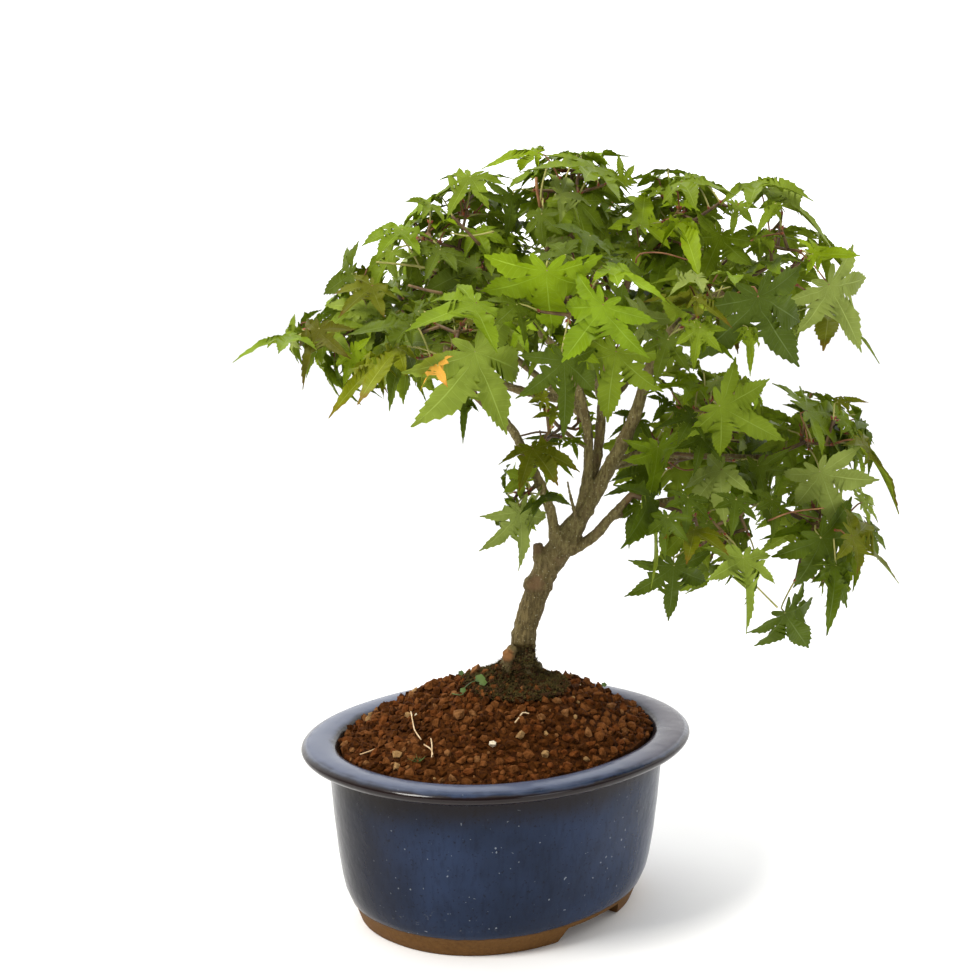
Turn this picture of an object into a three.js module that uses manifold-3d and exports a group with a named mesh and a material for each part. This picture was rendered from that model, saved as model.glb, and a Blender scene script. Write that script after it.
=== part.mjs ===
// A Japanese maple kept small in an oval glazed pot, in millimetres, +Z up.
// The front of the tree faces -Y. Every piece is placed from the middle of the pot at the level of its
// feet, and the whole group is then moved so that its own box is centred over the origin.
import * as THREE from "three";
import { mergeVertices } from "three/addons/utils/BufferGeometryUtils.js";
import Module from "manifold-3d";

const wasm = await Module();
wasm.setup();

// Pot: an oval with a broad flat lip, on two feet that curve round its ends
const RIM_LENGTH = 168.6;
const RIM_WIDTH = 143.6;
const POT_HEIGHT = 73;
const POT_TURN = THREE.MathUtils.degToRad(48.7);
const OVAL_POWER = 2.15;
const OVAL_SIDES = 40;
const LIP_WIDTH = 13;
const LIP_THICKNESS = 6;
const WALL = 4.5;
const FOOT_HEIGHT = 6;
const FOOT_WIDTH = 9;
const FOOT_GAP = 34;
const FLOOR_THICKNESS = 8;

// Soil: filled to the lip and heaped up to the trunk
const SEAT_GAP = 0.3;
const SOIL_TOP = 92.5;
const CROWN_OF_SOIL_RADIUS = 11;
const MOUND_FULLNESS = 1.1;

// Trunk: leans right, with its foot a little behind the middle of the pot
const TRUNK_FOOT = [9.3, 12];
const TRUNK_SIDES = 12;
const BOUGH_SIDES = 6;
const BOUGH_STEP = 17;

// Foliage
const LEAF_THICKNESS = 1.2;
const PETIOLE_RADIUS = 0.5;
const TWIG_RADIUS = 0.7;
const JOINT_RADIUS = 0.25;
const STEM_RADIUS = 1.25;
const STEM_START = 3;
const TWIG_STEP = 13;
const PETIOLE_SHARE = 0.55;
const SPACE_MARGIN = 1.1;
const LIMB_MARGIN = 1.6;
const STEM_MARGIN = 2;
const JOINT_REACH = 3.5;
const JOINT_SHARES = [0.2, 0.5, 0.8];
const TRIES = 60;
const CROWN_HEART = new THREE.Vector3(34, 4, 212);
const UP = new THREE.Vector3(0, 0, 1);

const COLOURS = {
  glaze: { color: 0x24406e, roughness: 0.3, metalness: 0 },
  soil: { color: 0x4a2c1a, roughness: 0.95, metalness: 0 },
  bark: { color: 0x6d6648, roughness: 0.8, metalness: 0 },
  leaf: { color: 0x4c7d2a, roughness: 0.5, metalness: 0 },
};

// A small repeatable source of numbers from 0 to 1.
function generator(seed) {
  let state = seed >>> 0;
  return () => {
    state = (state + 0x6d2b79f5) >>> 0;
    let t = state;
    t = Math.imul(t ^ (t >>> 15), t | 1);
    t ^= t + Math.imul(t ^ (t >>> 7), t | 61);
    return ((t ^ (t >>> 14)) >>> 0) / 4294967296;
  };
}

function solidFrom(positions, triangles) {
  const mesh = new wasm.Mesh({
    numProp: 3,
    vertProperties: new Float32Array(positions),
    triVerts: new Uint32Array(triangles),
  });
  return new wasm.Manifold(mesh);
}

function solidOfGeometry(geometry) {
  const bare = geometry.clone();
  bare.deleteAttribute("normal");
  bare.deleteAttribute("uv");
  const merged = mergeVertices(bare, 1e-4);
  return solidFrom(merged.attributes.position.array, merged.index.array);
}

function geometryOf(solid) {
  const mesh = solid.getMesh();
  const geometry = new THREE.BufferGeometry();
  geometry.setAttribute("position", new THREE.BufferAttribute(mesh.vertProperties, 3));
  geometry.setIndex(new THREE.BufferAttribute(mesh.triVerts, 1));
  geometry.computeVertexNormals();
  return geometry;
}

// The largest outer body of a solid, with its sealed hollows filled.
function mainBody(solid) {
  const bodies = solid.decompose().filter((body) => body.volume() > 0);
  return bodies.reduce((best, body) => (body.volume() > best.volume() ? body : best));
}

// Rings of points joined into a closed solid, its two ends closed by fans round their middles.
function loft(rings) {
  const sides = rings[0].length;
  const positions = rings.flat().flatMap((p) => [p.x, p.y, p.z]);
  const triangles = [];
  const middles = [rings[0], rings[rings.length - 1]].map((ring) => {
    const middle = ring.reduce((sum, p) => sum.add(p), new THREE.Vector3()).divideScalar(sides);
    positions.push(middle.x, middle.y, middle.z);
    return positions.length / 3 - 1;
  });
  const last = (rings.length - 1) * sides;
  for (let j = 0; j < sides; j++) {
    const next = (j + 1) % sides;
    triangles.push(middles[0], next, j, middles[1], last + j, last + next);
    for (let i = 0; i < rings.length - 1; i++) {
      const a = i * sides;
      const b = a + sides;
      triangles.push(a + j, a + next, b + next, a + j, b + next, b + j);
    }
  }
  return solidFrom(positions, triangles);
}

// Pot and soil

// One level of the oval: inset is measured inwards from the lip's outer edge.
function ovalRing(inset, z) {
  const ring = [];
  for (let i = 0; i < OVAL_SIDES; i++) {
    const angle = (2 * Math.PI * i) / OVAL_SIDES;
    const c = Math.cos(angle);
    const s = Math.sin(angle);
    const x = (RIM_LENGTH / 2 - inset) * Math.sign(c) * Math.abs(c) ** (2 / OVAL_POWER);
    const y = (RIM_WIDTH / 2 - inset) * Math.sign(s) * Math.abs(s) ** (2 / OVAL_POWER);
    ring.push(new THREE.Vector3(x, y, z));
  }
  return ring;
}

// The wall's outer line from the foot up to the lip, as [inset, height].
const WALL_LINE = [
  [22.5, 0],
  [20, FOOT_HEIGHT],
  [16.6, 14],
  [14, 29],
  [12.3, 44],
  [11, POT_HEIGHT - LIP_THICKNESS - 1],
];

function makePot() {
  const floorTop = FOOT_HEIGHT + FLOOR_THICKNESS;
  const footInner = WALL_LINE[0][0] + FOOT_WIDTH;
  const underLip = POT_HEIGHT - LIP_THICKNESS;
  const lip = [
    [1.6, underLip],
    [0, underLip + 1.8],
    [0, POT_HEIGHT - 1.8],
    [1.8, POT_HEIGHT],
    [LIP_WIDTH, POT_HEIGHT],
  ];
  const foot = [[footInner, FOOT_HEIGHT], [footInner, 0]];
  const profile = [...foot, ...WALL_LINE, ...lip, ...innerWall(0, floorTop)];
  const body = loft(profile.map(([inset, z]) => ovalRing(inset, z)));
  return gapsBetweenFeet().reduce((pot, gap) => pot.subtract(gap), body);
}

// The inner wall from the lip down to the floor, moved inwards by gap.
function innerWall(gap, floorTop) {
  return [
    [WALL_LINE[5][0] + WALL + gap, POT_HEIGHT - 4],
    [WALL_LINE[3][0] + WALL + gap, 29],
    [WALL_LINE[2][0] + WALL + 6 + gap, floorTop + gap],
  ];
}

// The foot ring is open in the middle of each long side, with ends that lean outwards as they rise.
function gapsBetweenFeet() {
  const half = FOOT_GAP / 2;
  const outline = new THREE.Shape([
    new THREE.Vector2(-half - 3, -1),
    new THREE.Vector2(half + 3, -1),
    new THREE.Vector2(half - 1, FOOT_HEIGHT),
    new THREE.Vector2(-half + 1, FOOT_HEIGHT),
  ]);
  const reach = RIM_WIDTH / 2;
  const nearMiddle = 20;
  return [1, -1].map((side) => {
    const block = new THREE.ExtrudeGeometry(outline, { depth: reach - nearMiddle, bevelEnabled: false });
    block.rotateX(Math.PI / 2);
    block.translate(0, side > 0 ? reach : -nearMiddle, 0);
    return solidOfGeometry(block);
  });
}

// Soil from the pot's floor to the lip, then heaped towards the trunk, whose foot is off the middle.
function makeSoil() {
  const inside = innerWall(SEAT_GAP, FOOT_HEIGHT + FLOOR_THICKNESS).reverse();
  const rings = inside.map(([inset, z]) => ovalRing(inset, z));
  const edge = ovalRing(WALL_LINE[5][0] + WALL + SEAT_GAP, POT_HEIGHT - 0.5);
  rings.push(edge);
  const foot = turned(new THREE.Vector3(TRUNK_FOOT[0], TRUNK_FOOT[1], 0), -POT_TURN);
  for (const share of [0.3, 0.65, 1]) {
    const rise = Math.sin((share * Math.PI) / 2) ** MOUND_FULLNESS;
    const height = THREE.MathUtils.lerp(POT_HEIGHT, SOIL_TOP, rise);
    rings.push(
      edge.map((p) => {
        const out = new THREE.Vector3(p.x - foot.x, p.y - foot.y, 0);
        const near = out.clone().setLength(CROWN_OF_SOIL_RADIUS);
        return out.lerp(near, share).add(new THREE.Vector3(foot.x, foot.y, height));
      }),
    );
  }
  return loft(rings);
}

function turned(vector, angle) {
  return vector.clone().applyAxisAngle(UP, angle);
}

// Trunk and boughs

function vectors(points) {
  return points.map((p) => new THREE.Vector3(...p));
}

// A tapering limb along a smooth line. Radii are spread evenly along it, and grown widens it all over.
function limbSolid(limb, grown = 0) {
  const curve = limb.curve;
  const steps = Math.max(3, Math.round(curve.getLength() / limb.step));
  const centres = curve.getSpacedPoints(steps);
  const frames = curve.computeFrenetFrames(steps, false);
  if (grown) {
    centres[0].addScaledVector(frames.tangents[0], -grown);
    centres[steps].addScaledVector(frames.tangents[steps], grown);
  }
  const rings = centres.map((centre, i) => {
    const radius = radiusAlong(limb.radii, i / steps) + grown;
    const flare = limb.foot ? THREE.MathUtils.lerp(1, 0, Math.min(1, i / 2)) : 0;
    const ring = [];
    for (let j = 0; j < limb.sides; j++) {
      const angle = (2 * Math.PI * j) / limb.sides;
      const wide = radius * (1 + flare * 0.16 * Math.cos(angle * 4));
      const point = centre.clone();
      point.addScaledVector(frames.normals[i], Math.cos(angle) * wide);
      point.addScaledVector(frames.binormals[i], Math.sin(angle) * wide);
      if (limb.foot && i === 0) point.z = centre.z;
      ring.push(point);
    }
    return ring;
  });
  return loft(rings);
}

function radiusAlong(radii, share) {
  const place = share * (radii.length - 1);
  const i = Math.min(radii.length - 2, Math.floor(place));
  return THREE.MathUtils.lerp(radii[i], radii[i + 1], place - i);
}

// Each limb: its centre line, and its radii spread evenly from root to tip.
const TRUNK_LINE = {
  name: "trunk",
  points: [
    [...TRUNK_FOOT, SOIL_TOP + SEAT_GAP],
    [10, 12, 102],
    [11.3, 12, 113],
    [13, 12, 123],
    [16, 11, 132],
    [20.5, 10, 140],
    [26, 9, 148],
    [33.5, 8, 160],
  ],
  radii: [7.4, 4.7, 4.2, 4.3, 5, 5.5, 5.4, 3.6],
  sides: TRUNK_SIDES,
  step: 6,
  foot: true,
};

const STUB_LINE = {
  name: "stub",
  points: [[23, 9.5, 143], [18, 8.5, 145], [16.6, 8, 151]],
  thick: 3.6,
  thin: 1.3,
};

// Every bough starts on the line of the limb that bears it, and bears one mass at its tip.
const BOUGH_LINES = [
  {
    name: "left_bough",
    points: [[23.4, 9, 147], [20.7, 6, 163], [13, -4, 186], [4, -12, 199], [-7, -22, 210]],
    thick: 2.3, thin: 1.5,
  },
  {
    name: "centre_left_bough",
    points: [[32, 8, 158], [36, 8, 178], [35.5, 7, 196], [30, 6, 218], [22, 7, 240], [18, 8, 258]],
    thick: 2.2, thin: 1.5,
  },
  {
    name: "centre_bough",
    points: [[32.5, 8.5, 158], [40, 12, 184], [42, 15, 206], [44.5, 16, 232], [51, 13, 252]],
    thick: 2.3, thin: 1.5,
  },
  {
    name: "right_bough",
    points: [[33, 8, 158.5], [43, 6, 180], [51.5, 1, 200], [61, -3, 227], [76, 1, 243], [88, 4, 250]],
    thick: 2.9, thin: 1.5,
  },
  {
    name: "low_right_bough",
    points: [[29, 9, 145], [38, 4, 152], [45, -1, 161], [51, -6, 169]],
    thick: 2.4, thin: 1.6,
  },
  {
    name: "left_arm",
    points: [[32.9, 6.5, 206.5], [21.8, 0, 209], [4, -6, 214], [-12, -3, 223], [-29, 3, 233]],
    thick: 1.9, thin: 1.3,
  },
  {
    name: "upper_left_bough",
    points: [[28.5, 6, 222], [16, 10, 235], [0, 13, 250]],
    thick: 1.7, thin: 1.2,
  },
  { name: "back_left_bough", points: [[35, 7, 200], [20, 20, 212], [2, 36, 226]], thick: 1.8, thin: 1.2 },
  { name: "front_bough", points: [[42, 15, 206], [38, 1, 216], [31, -16, 228]], thick: 1.8, thin: 1.2 },
  { name: "back_top_bough", points: [[45, 16, 234], [45, 28, 248]], thick: 1.5, thin: 1.1 },
  {
    name: "back_right_bough",
    points: [[42, 15, 202], [54, 28, 214], [64, 38, 226]],
    thick: 1.8, thin: 1.2,
  },
  {
    name: "right_front_bough",
    points: [[61, -3, 227], [66, -14, 236], [70, -24, 242]],
    thick: 1.7, thin: 1.2,
  },
  { name: "low_upper_bough", points: [[43, 6, 180], [56, 6, 186], [68, 3, 191]], thick: 1.7, thin: 1.2 },
  { name: "low_outer_bough", points: [[56, 6, 186], [80, 12, 184], [106, 8, 184]], thick: 1.4, thin: 1.1 },
  {
    name: "low_tip_bough",
    points: [[45, -1, 161], [62, 3, 166], [90, 4, 168], [112, 0, 164]],
    thick: 1.6, thin: 1.1,
  },
  { name: "low_back_bough", points: [[43, 6, 180], [60, 20, 181], [74, 30, 180]], thick: 1.6, thin: 1.2 },
  { name: "left_spur", points: [[17, 1, 175], [14.5, -3, 174], [13, -5, 173]], thick: 1.1, thin: 0.9 },
  { name: "inner_spur", points: [[36, 8, 188], [30, 15, 191], [26, 19, 194]], thick: 1.1, thin: 0.9 },
];

// Foliage masses: the bough that bears each, the middle and half widths of its space, the leaves it
// asks for and the length of their middle lobe.
const MASSES = [
  {
    name: "left_foliage", bough: "left_arm",
    middle: [-63, -2, 239], reach: [31, 28, 20], leaves: 23, lobe: 24,
  },
  {
    name: "front_left_foliage", bough: "left_bough",
    middle: [-22, -46, 238], reach: [32, 24, 19], leaves: 18, lobe: 29,
  },
  {
    name: "upper_left_foliage", bough: "upper_left_bough",
    middle: [-14, 6, 274], reach: [31, 26, 21], leaves: 24, lobe: 23,
  },
  {
    name: "top_foliage", bough: "centre_left_bough",
    middle: [26, 2, 288], reach: [28, 26, 20], leaves: 24, lobe: 23,
  },
  {
    name: "front_foliage", bough: "front_bough",
    middle: [26, -46, 251], reach: [28, 24, 26], leaves: 18, lobe: 29,
  },
  {
    name: "upper_right_foliage", bough: "centre_bough",
    middle: [74, 2, 281], reach: [30, 26, 21], leaves: 24, lobe: 25,
  },
  {
    name: "right_foliage", bough: "right_bough",
    middle: [115, 0, 266], reach: [27, 26, 25], leaves: 22, lobe: 26,
  },
  {
    name: "right_front_foliage", bough: "right_front_bough",
    middle: [78, -46, 249], reach: [28, 24, 24], leaves: 18, lobe: 29,
  },
  {
    name: "back_left_foliage", bough: "back_left_bough",
    middle: [-20, 58, 245], reach: [36, 26, 26], leaves: 16, lobe: 28,
  },
  {
    name: "back_top_foliage", bough: "back_top_bough",
    middle: [40, 50, 270], reach: [28, 22, 20], leaves: 14, lobe: 28,
  },
  {
    name: "back_right_foliage", bough: "back_right_bough",
    middle: [92, 54, 248], reach: [36, 26, 26], leaves: 16, lobe: 29,
  },
  {
    name: "low_upper_foliage", bough: "low_upper_bough",
    middle: [90, -12, 209], reach: [30, 28, 18], leaves: 20, lobe: 26,
  },
  {
    name: "low_outer_foliage", bough: "low_outer_bough",
    middle: [130, 3, 194], reach: [24, 26, 20], leaves: 18, lobe: 25,
  },
  {
    name: "low_tip_foliage", bough: "low_tip_bough",
    middle: [132, -4, 155], reach: [23, 22, 20], leaves: 16, lobe: 27,
  },
  {
    name: "low_inner_foliage", bough: "low_right_bough",
    middle: [82, -18, 162], reach: [28, 24, 24], leaves: 18, lobe: 27,
  },
  {
    name: "low_back_foliage", bough: "low_back_bough",
    middle: [96, 44, 182], reach: [36, 24, 24], leaves: 14, lobe: 29,
  },
  {
    name: "left_spur_foliage", bough: "left_spur",
    middle: [12, -9, 172], reach: [8, 9, 12], leaves: 7, lobe: 17,
  },
  {
    name: "inner_spur_foliage", bough: "inner_spur",
    middle: [20, 26, 200], reach: [12, 12, 12], leaves: 7, lobe: 14,
  },
];

function readyLimb(line, sides, step) {
  const curve = new THREE.CatmullRomCurve3(vectors(line.points), false, "centripetal");
  return { sides, step, radii: [line.thick, line.thin], ...line, curve };
}

const trunk = readyLimb(TRUNK_LINE, TRUNK_SIDES, 6);
const boughs = BOUGH_LINES.map((line) => readyLimb(line, BOUGH_SIDES, BOUGH_STEP));

// A pruned stub and a healed root knob that stand out of the trunk.
function trunkKnobs() {
  const stub = readyLimb(STUB_LINE, 8, 3);
  const knob = new THREE.SphereGeometry(1, 9, 6);
  knob.scale(4.4, 4, 3.8);
  knob.translate(3.6, 8.6, 101.5);
  return [limbSolid(stub), solidOfGeometry(knob)];
}

function boxesMeet(a, b) {
  return [0, 1, 2].every((k) => a.min[k] <= b.max[k] && b.min[k] <= a.max[k]);
}

// Trunk first, then each bough cut clear of the limbs that are already there.
function makeLimbs() {
  const made = [];
  const kept = [];
  const add = (limb, solid) => {
    made.push({ name: limb.name, solid });
    kept.push(limbSolid(limb, SEAT_GAP));
  };
  const trunkSolid = trunkKnobs().reduce((sum, knob) => sum.add(knob), limbSolid(trunk));
  add(trunk, trunkSolid);
  kept.push(...trunkKnobs());
  for (const bough of boughs) {
    const whole = limbSolid(bough);
    const near = kept.filter((other) => boxesMeet(other.boundingBox(), whole.boundingBox()));
    add(bough, mainBody(near.reduce((solid, other) => solid.subtract(other), whole)));
  }
  return made;
}

// Foliage

// A leaf's outline seen from above, as [angle from its middle lobe in degrees, share of lobe length].
const LEAF_OUTLINE = [
  [0, 1],
  [20, 0.43],
  [41, 0.92],
  [62, 0.4],
  [84, 0.7],
  [180, 0.09],
  [-84, 0.7],
  [-62, 0.4],
  [-41, 0.92],
  [-20, 0.43],
];
const LEAF_HUB = 0.04;
const NECK_DEPTH = 1;
const LEAST_RISE = 0.25;
const TIP_DROOP = 0.2;

// A leaf's frame: where its stalk meets it, the way its middle lobe points, its upper side and size.
function leafPoint(leaf, degrees, share, raise = 0) {
  const angle = THREE.MathUtils.degToRad(degrees);
  const side = new THREE.Vector3().crossVectors(leaf.face, leaf.along);
  return leaf.base
    .clone()
    .addScaledVector(leaf.along, Math.cos(angle) * share * leaf.lobe)
    .addScaledVector(side, Math.sin(angle) * share * leaf.lobe)
    .addScaledVector(leaf.face, raise - TIP_DROOP * share * share * leaf.lobe);
}

// Where the stalk meets the underside of the blade.
function neckOf(leaf) {
  return leaf.base.clone().addScaledVector(leaf.face, -NECK_DEPTH);
}

// Three points round a stem's centre line, counter-clockwise seen from its far end.
function stemRing(centre, along, guide, radius) {
  const across = guide.clone().addScaledVector(along, -guide.dot(along)).normalize();
  const other = new THREE.Vector3().crossVectors(along, across);
  return [0, 1, 2].map((j) => {
    const angle = (2 * Math.PI * j) / 3;
    const point = centre.clone().addScaledVector(across, Math.cos(angle) * radius);
    return point.addScaledVector(other, Math.sin(angle) * radius);
  });
}

// Rings and side triangles of a three-sided stem along a line of points, closed at its first end.
function stemShell({ points, radii }, guide, lastWay) {
  const last = points.length - 1;
  const rings = points.map((centre, i) => {
    const along = points[Math.min(i + 1, last)].clone().sub(points[Math.max(i - 1, 0)]).normalize();
    return stemRing(centre, i === last && lastWay ? lastWay : along, guide, radii[i]);
  });
  const triangles = [0, 2, 1];
  for (let i = 0; i < last; i++) {
    for (let j = 0; j < 3; j++) {
      const a = 3 * i + j;
      const b = 3 * i + ((j + 1) % 3);
      triangles.push(a, b, b + 3, a, b + 3, a + 3);
    }
  }
  return { vertices: rings.flat(), triangles };
}

function flatPositions(vertices) {
  return vertices.flatMap((p) => [p.x, p.y, p.z]);
}

function stemSolid(stem) {
  const way = stem.points[1].clone().sub(stem.points[0]);
  const guide = new THREE.Vector3(way.y, -way.x, 0.3 * way.length());
  const { vertices, triangles } = stemShell(stem, guide);
  const end = vertices.length - 3;
  return solidFrom(flatPositions(vertices), [...triangles, end, end + 1, end + 2]);
}

// For each edge of a leaf's outline, the corner of the stalk that its underside runs to.
const CORNER_OF_EDGE = [2, 2, 2, 2, 0, 0, 1, 1, 1, 1];

// A leaf and its stem in one closed shell: the stalk widens into the underside of the blade.
function leafSolid({ stem, ...leaf }) {
  const guide = leaf.along.clone().negate();
  const last = stem.points.length - 1;
  const way = stem.points[last].clone().sub(stem.points[last - 1]).normalize().add(leaf.face).normalize();
  const { vertices, triangles } = stemShell(stem, guide, way);
  const neck = vertices.length - 3;
  const rim = vertices.length;
  const count = LEAF_OUTLINE.length;
  vertices.push(...LEAF_OUTLINE.map(([degrees, share]) => leafPoint(leaf, degrees, share)));
  vertices.push(leafPoint(leaf, 0, LEAF_HUB, LEAF_THICKNESS / 2));
  for (let i = 0; i < count; i++) {
    const next = (i + 1) % count;
    const corner = CORNER_OF_EDGE[i];
    const before = CORNER_OF_EDGE[(i + count - 1) % count];
    triangles.push(rim + count, rim + i, rim + next, neck + corner, rim + next, rim + i);
    if (before !== corner) triangles.push(neck + before, neck + corner, rim + i);
  }
  return solidFrom(flatPositions(vertices), triangles);
}

// How far a point lies outside a mass's space: the nearest space owns the point.
function outside(mass, point) {
  const [x, y, z] = mass.reach;
  const share = point.clone().sub(mass.centre).divide(new THREE.Vector3(x, y, z)).length();
  return (share - 1) * Math.cbrt(x * y * z);
}

function inOwnSpace(mass, points) {
  return points.every((point) => {
    const own = outside(mass, point) + SPACE_MARGIN;
    return masses.every((other) => other === mass || own < outside(other, point));
  });
}

function clearOfLimbs(points) {
  const clear = (point) => limbBeads.every(({ at, radius }) => point.distanceTo(at) > radius + LIMB_MARGIN);
  return points.every(clear);
}

function pointsAlong(from, to, count) {
  return Array.from({ length: count + 1 }, (_, i) => from.clone().lerp(to, i / count));
}

// Places that a leaf has to keep inside its mass's space: its lobes' tips and middles, and its notches.
function leafPlaces(leaf) {
  return LEAF_OUTLINE.flatMap(([degrees, share]) => {
    const shares = share > 0.5 ? [share * 0.3, share * 0.55, share * 0.8, share] : [share];
    return shares.map((s) => leafPoint(leaf, degrees, s));
  });
}

function jitter(random, size) {
  return new THREE.Vector3(random() - 0.5, random() - 0.5, random() - 0.5).multiplyScalar(2 * size);
}

function meets([from, to], [a, b, c]) {
  const ray = new THREE.Ray(from, to.clone().sub(from).normalize());
  const hit = ray.intersectTriangle(a, b, c, false, new THREE.Vector3());
  return hit !== null && hit.distanceTo(from) < to.distanceTo(from);
}

// A leaf's sheet as triangles, and its edges and ribs as lines just above and just below that sheet.
function leafSheet(leaf) {
  const hub = leafPoint(leaf, 0, LEAF_HUB);
  const rim = LEAF_OUTLINE.map(([degrees, share]) => leafPoint(leaf, degrees, share));
  const triangles = rim.map((p, i) => [hub, p, rim[(i + 1) % rim.length]]);
  const lines = [LEAF_THICKNESS, -LEAF_THICKNESS].flatMap((raise) => {
    const lift = leaf.face.clone().multiplyScalar(raise);
    return triangles.flatMap(([a, b, c]) => [
      [a.clone().add(lift), b.clone().add(lift)],
      [b.clone().add(lift), c.clone().add(lift)],
    ]);
  });
  return { triangles, lines, hub, size: leaf.lobe * 1.05 };
}

function linesOf(stem) {
  return stem.points.slice(1).map((to, i) => [stem.points[i], to]);
}

// Whether a new leaf's sheet and stem pass through leaves and stems that are already there.
function crosses(sheet, stem, leaves, stems) {
  const isNear = (other) => other.sheet.hub.distanceTo(sheet.hub) < other.sheet.size + sheet.size;
  const near = leaves.filter(isNear);
  const leafMeets = near.some(
    (other) =>
      other.sheet.triangles.some((triangle) => sheet.lines.some((line) => meets(line, triangle))) ||
      sheet.triangles.some((triangle) => other.sheet.lines.some((line) => meets(line, triangle))),
  );
  const stemMeets = leaves.some((other) =>
    other.sheet.triangles.some((triangle) => linesOf(stem).some((line) => meets(line, triangle))),
  );
  const oldStemMeets = stems.some((old) =>
    sheet.triangles.some((triangle) => linesOf(old).some((line) => meets(line, triangle))),
  );
  return leafMeets || stemMeets || oldStemMeets || stemsTouch(stem, stems);
}

// Points about 2 mm apart along a stem.
function beadsOf(stem) {
  return linesOf(stem).flatMap(([from, to]) => pointsAlong(from, to, Math.ceil(from.distanceTo(to) / 2)));
}

// Whether a new stem comes close to another one anywhere but at the joint that it starts from.
function stemsTouch(stem, stems) {
  const free = beadsOf(stem).filter((at) => at.distanceTo(stem.points[0]) > JOINT_REACH);
  const touches = (at) => free.some((own) => own.distanceTo(at) < STEM_MARGIN);
  return stems.some((old) => beadsOf(old).some(touches));
}

// A leaf faces outwards and up, and its middle lobe carries on the way its stalk comes, hanging a little.
function leafAt(mass, random, base, lobe, stalkWay) {
  const out = base.clone().sub(mass.centre).normalize().multiplyScalar(0.5);
  out.add(base.clone().sub(CROWN_HEART).normalize().multiplyScalar(0.8));
  const face = out.clone().addScaledVector(UP, 0.55).add(jitter(random, 0.5)).normalize();
  const along = out.clone().multiplyScalar(0.4).addScaledVector(stalkWay, 0.9).addScaledVector(UP, -0.55);
  along.add(jitter(random, 0.4));
  const rise = face.dot(stalkWay);
  if (rise < LEAST_RISE) face.addScaledVector(stalkWay, LEAST_RISE - rise).normalize();
  along.addScaledVector(face, -along.dot(face)).normalize();
  return { base, face, along, lobe };
}

// The place of leaf k of n: spread by the golden angle over the mass's space, from its shell inwards.
function spreadPlace(mass, k, n, random) {
  const height = 1 - (2 * (k + 0.5)) / n;
  const angle = k * 2.39996 + random() * 0.8;
  const flat = Math.sqrt(1 - height * height);
  const depth = 0.6 + 0.4 * Math.sqrt(random());
  return new THREE.Vector3(Math.cos(angle) * flat, Math.sin(angle) * flat, height)
    .multiplyScalar(depth)
    .multiply(new THREE.Vector3(...mass.reach));
}

// Stems and leaves of one mass. Every leaf asks for a place, and a stem grows to it from the nearest joint.
function growMass(mass, index) {
  const random = generator(7919 * (index + 1));
  const main = mainStem(mass);
  const stems = [main];
  const leaves = [];
  const joints = jointsOn(main.points);
  for (let k = 0; k < mass.leaves; k++) {
    const wanted = spreadPlace(mass, k, mass.leaves, random);
    for (let attempt = 0; attempt < TRIES; attempt++) {
      const wander = 2 + 14 * (attempt / TRIES);
      const pulled = mass.centre.clone().addScaledVector(wanted, 1 - 0.4 * (attempt / TRIES));
      const base = pulled.add(jitter(random, wander));
      const lobe = mass.lobe * (0.8 + 0.35 * random()) * (1 - 0.25 * (attempt / TRIES));
      const joint = joints.reduce((best, at) => (at.distanceTo(base) < best.distanceTo(base) ? at : best));
      const leaf = leafAt(mass, random, base, lobe, base.clone().sub(joint).normalize());
      const stem = stemTo(joint, leaf, random);
      const places = [...leafPlaces(leaf), ...stem.points.slice(1), ...middles(stem.points)];
      if (!inOwnSpace(mass, places) || !clearOfLimbs(places)) continue;
      const sheet = leafSheet(leaf);
      if (crosses(sheet, stem, leaves, stems)) continue;
      leaves.push({ ...leaf, sheet, stem });
      stems.push(stem);
      joints.splice(joints.indexOf(joint), 1);
      joints.push(...jointsOn(stem.points.slice(0, -1)));
      break;
    }
  }
  return { stems, leaves };
}

// The stem that carries on from a bough's tip, first straight and then towards the middle of the mass.
function mainStem({ root, rootWay, centre }) {
  const bend = root.clone().addScaledVector(rootWay, STEM_START);
  const heart = bend.clone().lerp(centre, 0.75);
  const count = Math.max(1, Math.round(bend.distanceTo(heart) / 9));
  const points = [root, ...pointsAlong(bend, heart, count)];
  const radii = points.map((_, i) => THREE.MathUtils.lerp(STEM_RADIUS, TWIG_RADIUS, i / (count + 1)));
  return { points, radii };
}

function middles(points) {
  return points.slice(1).map((to, i) => to.clone().lerp(points[i], 0.5));
}

// Places where side stems may start: each serves one stem only.
function jointsOn(points) {
  const between = (from, to) => JOINT_SHARES.map((share) => from.clone().lerp(to, share));
  return points.slice(1).flatMap((to, i) => between(points[i], to));
}

// The stem that carries a leaf: short lengths of twig from a joint, then the leaf's own stalk.
function stemTo(joint, leaf, random) {
  const blade = neckOf(leaf);
  const gap = joint.distanceTo(blade);
  const stalk = Math.min(gap, leaf.lobe * PETIOLE_SHARE);
  const points = [joint];
  const lengths = Math.ceil((gap - stalk) / TWIG_STEP - 0.25);
  for (let i = 1; i <= lengths; i++) {
    const share = ((gap - stalk) / gap) * (i / lengths);
    points.push(joint.clone().lerp(blade, share).add(jitter(random, 1.2)));
  }
  points.push(blade);
  const radii = points.map((_, i) => (i === 0 ? JOINT_RADIUS : TWIG_RADIUS));
  radii[radii.length - 1] = PETIOLE_RADIUS;
  return { points, radii };
}

function massSolid({ stems, leaves }) {
  return mainBody(wasm.Manifold.union([stemSolid(stems[0]), ...leaves.map(leafSolid)]));
}

// Small beads along every limb, for keeping leaves and twigs clear of them.
const limbBeads = [trunk, ...boughs].flatMap((limb) => {
  const count = Math.round(limb.curve.getLength() / 3);
  const beadAt = (at, i) => ({ at, radius: radiusAlong(limb.radii, i / count) });
  return limb.curve.getSpacedPoints(count).map(beadAt);
});

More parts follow.
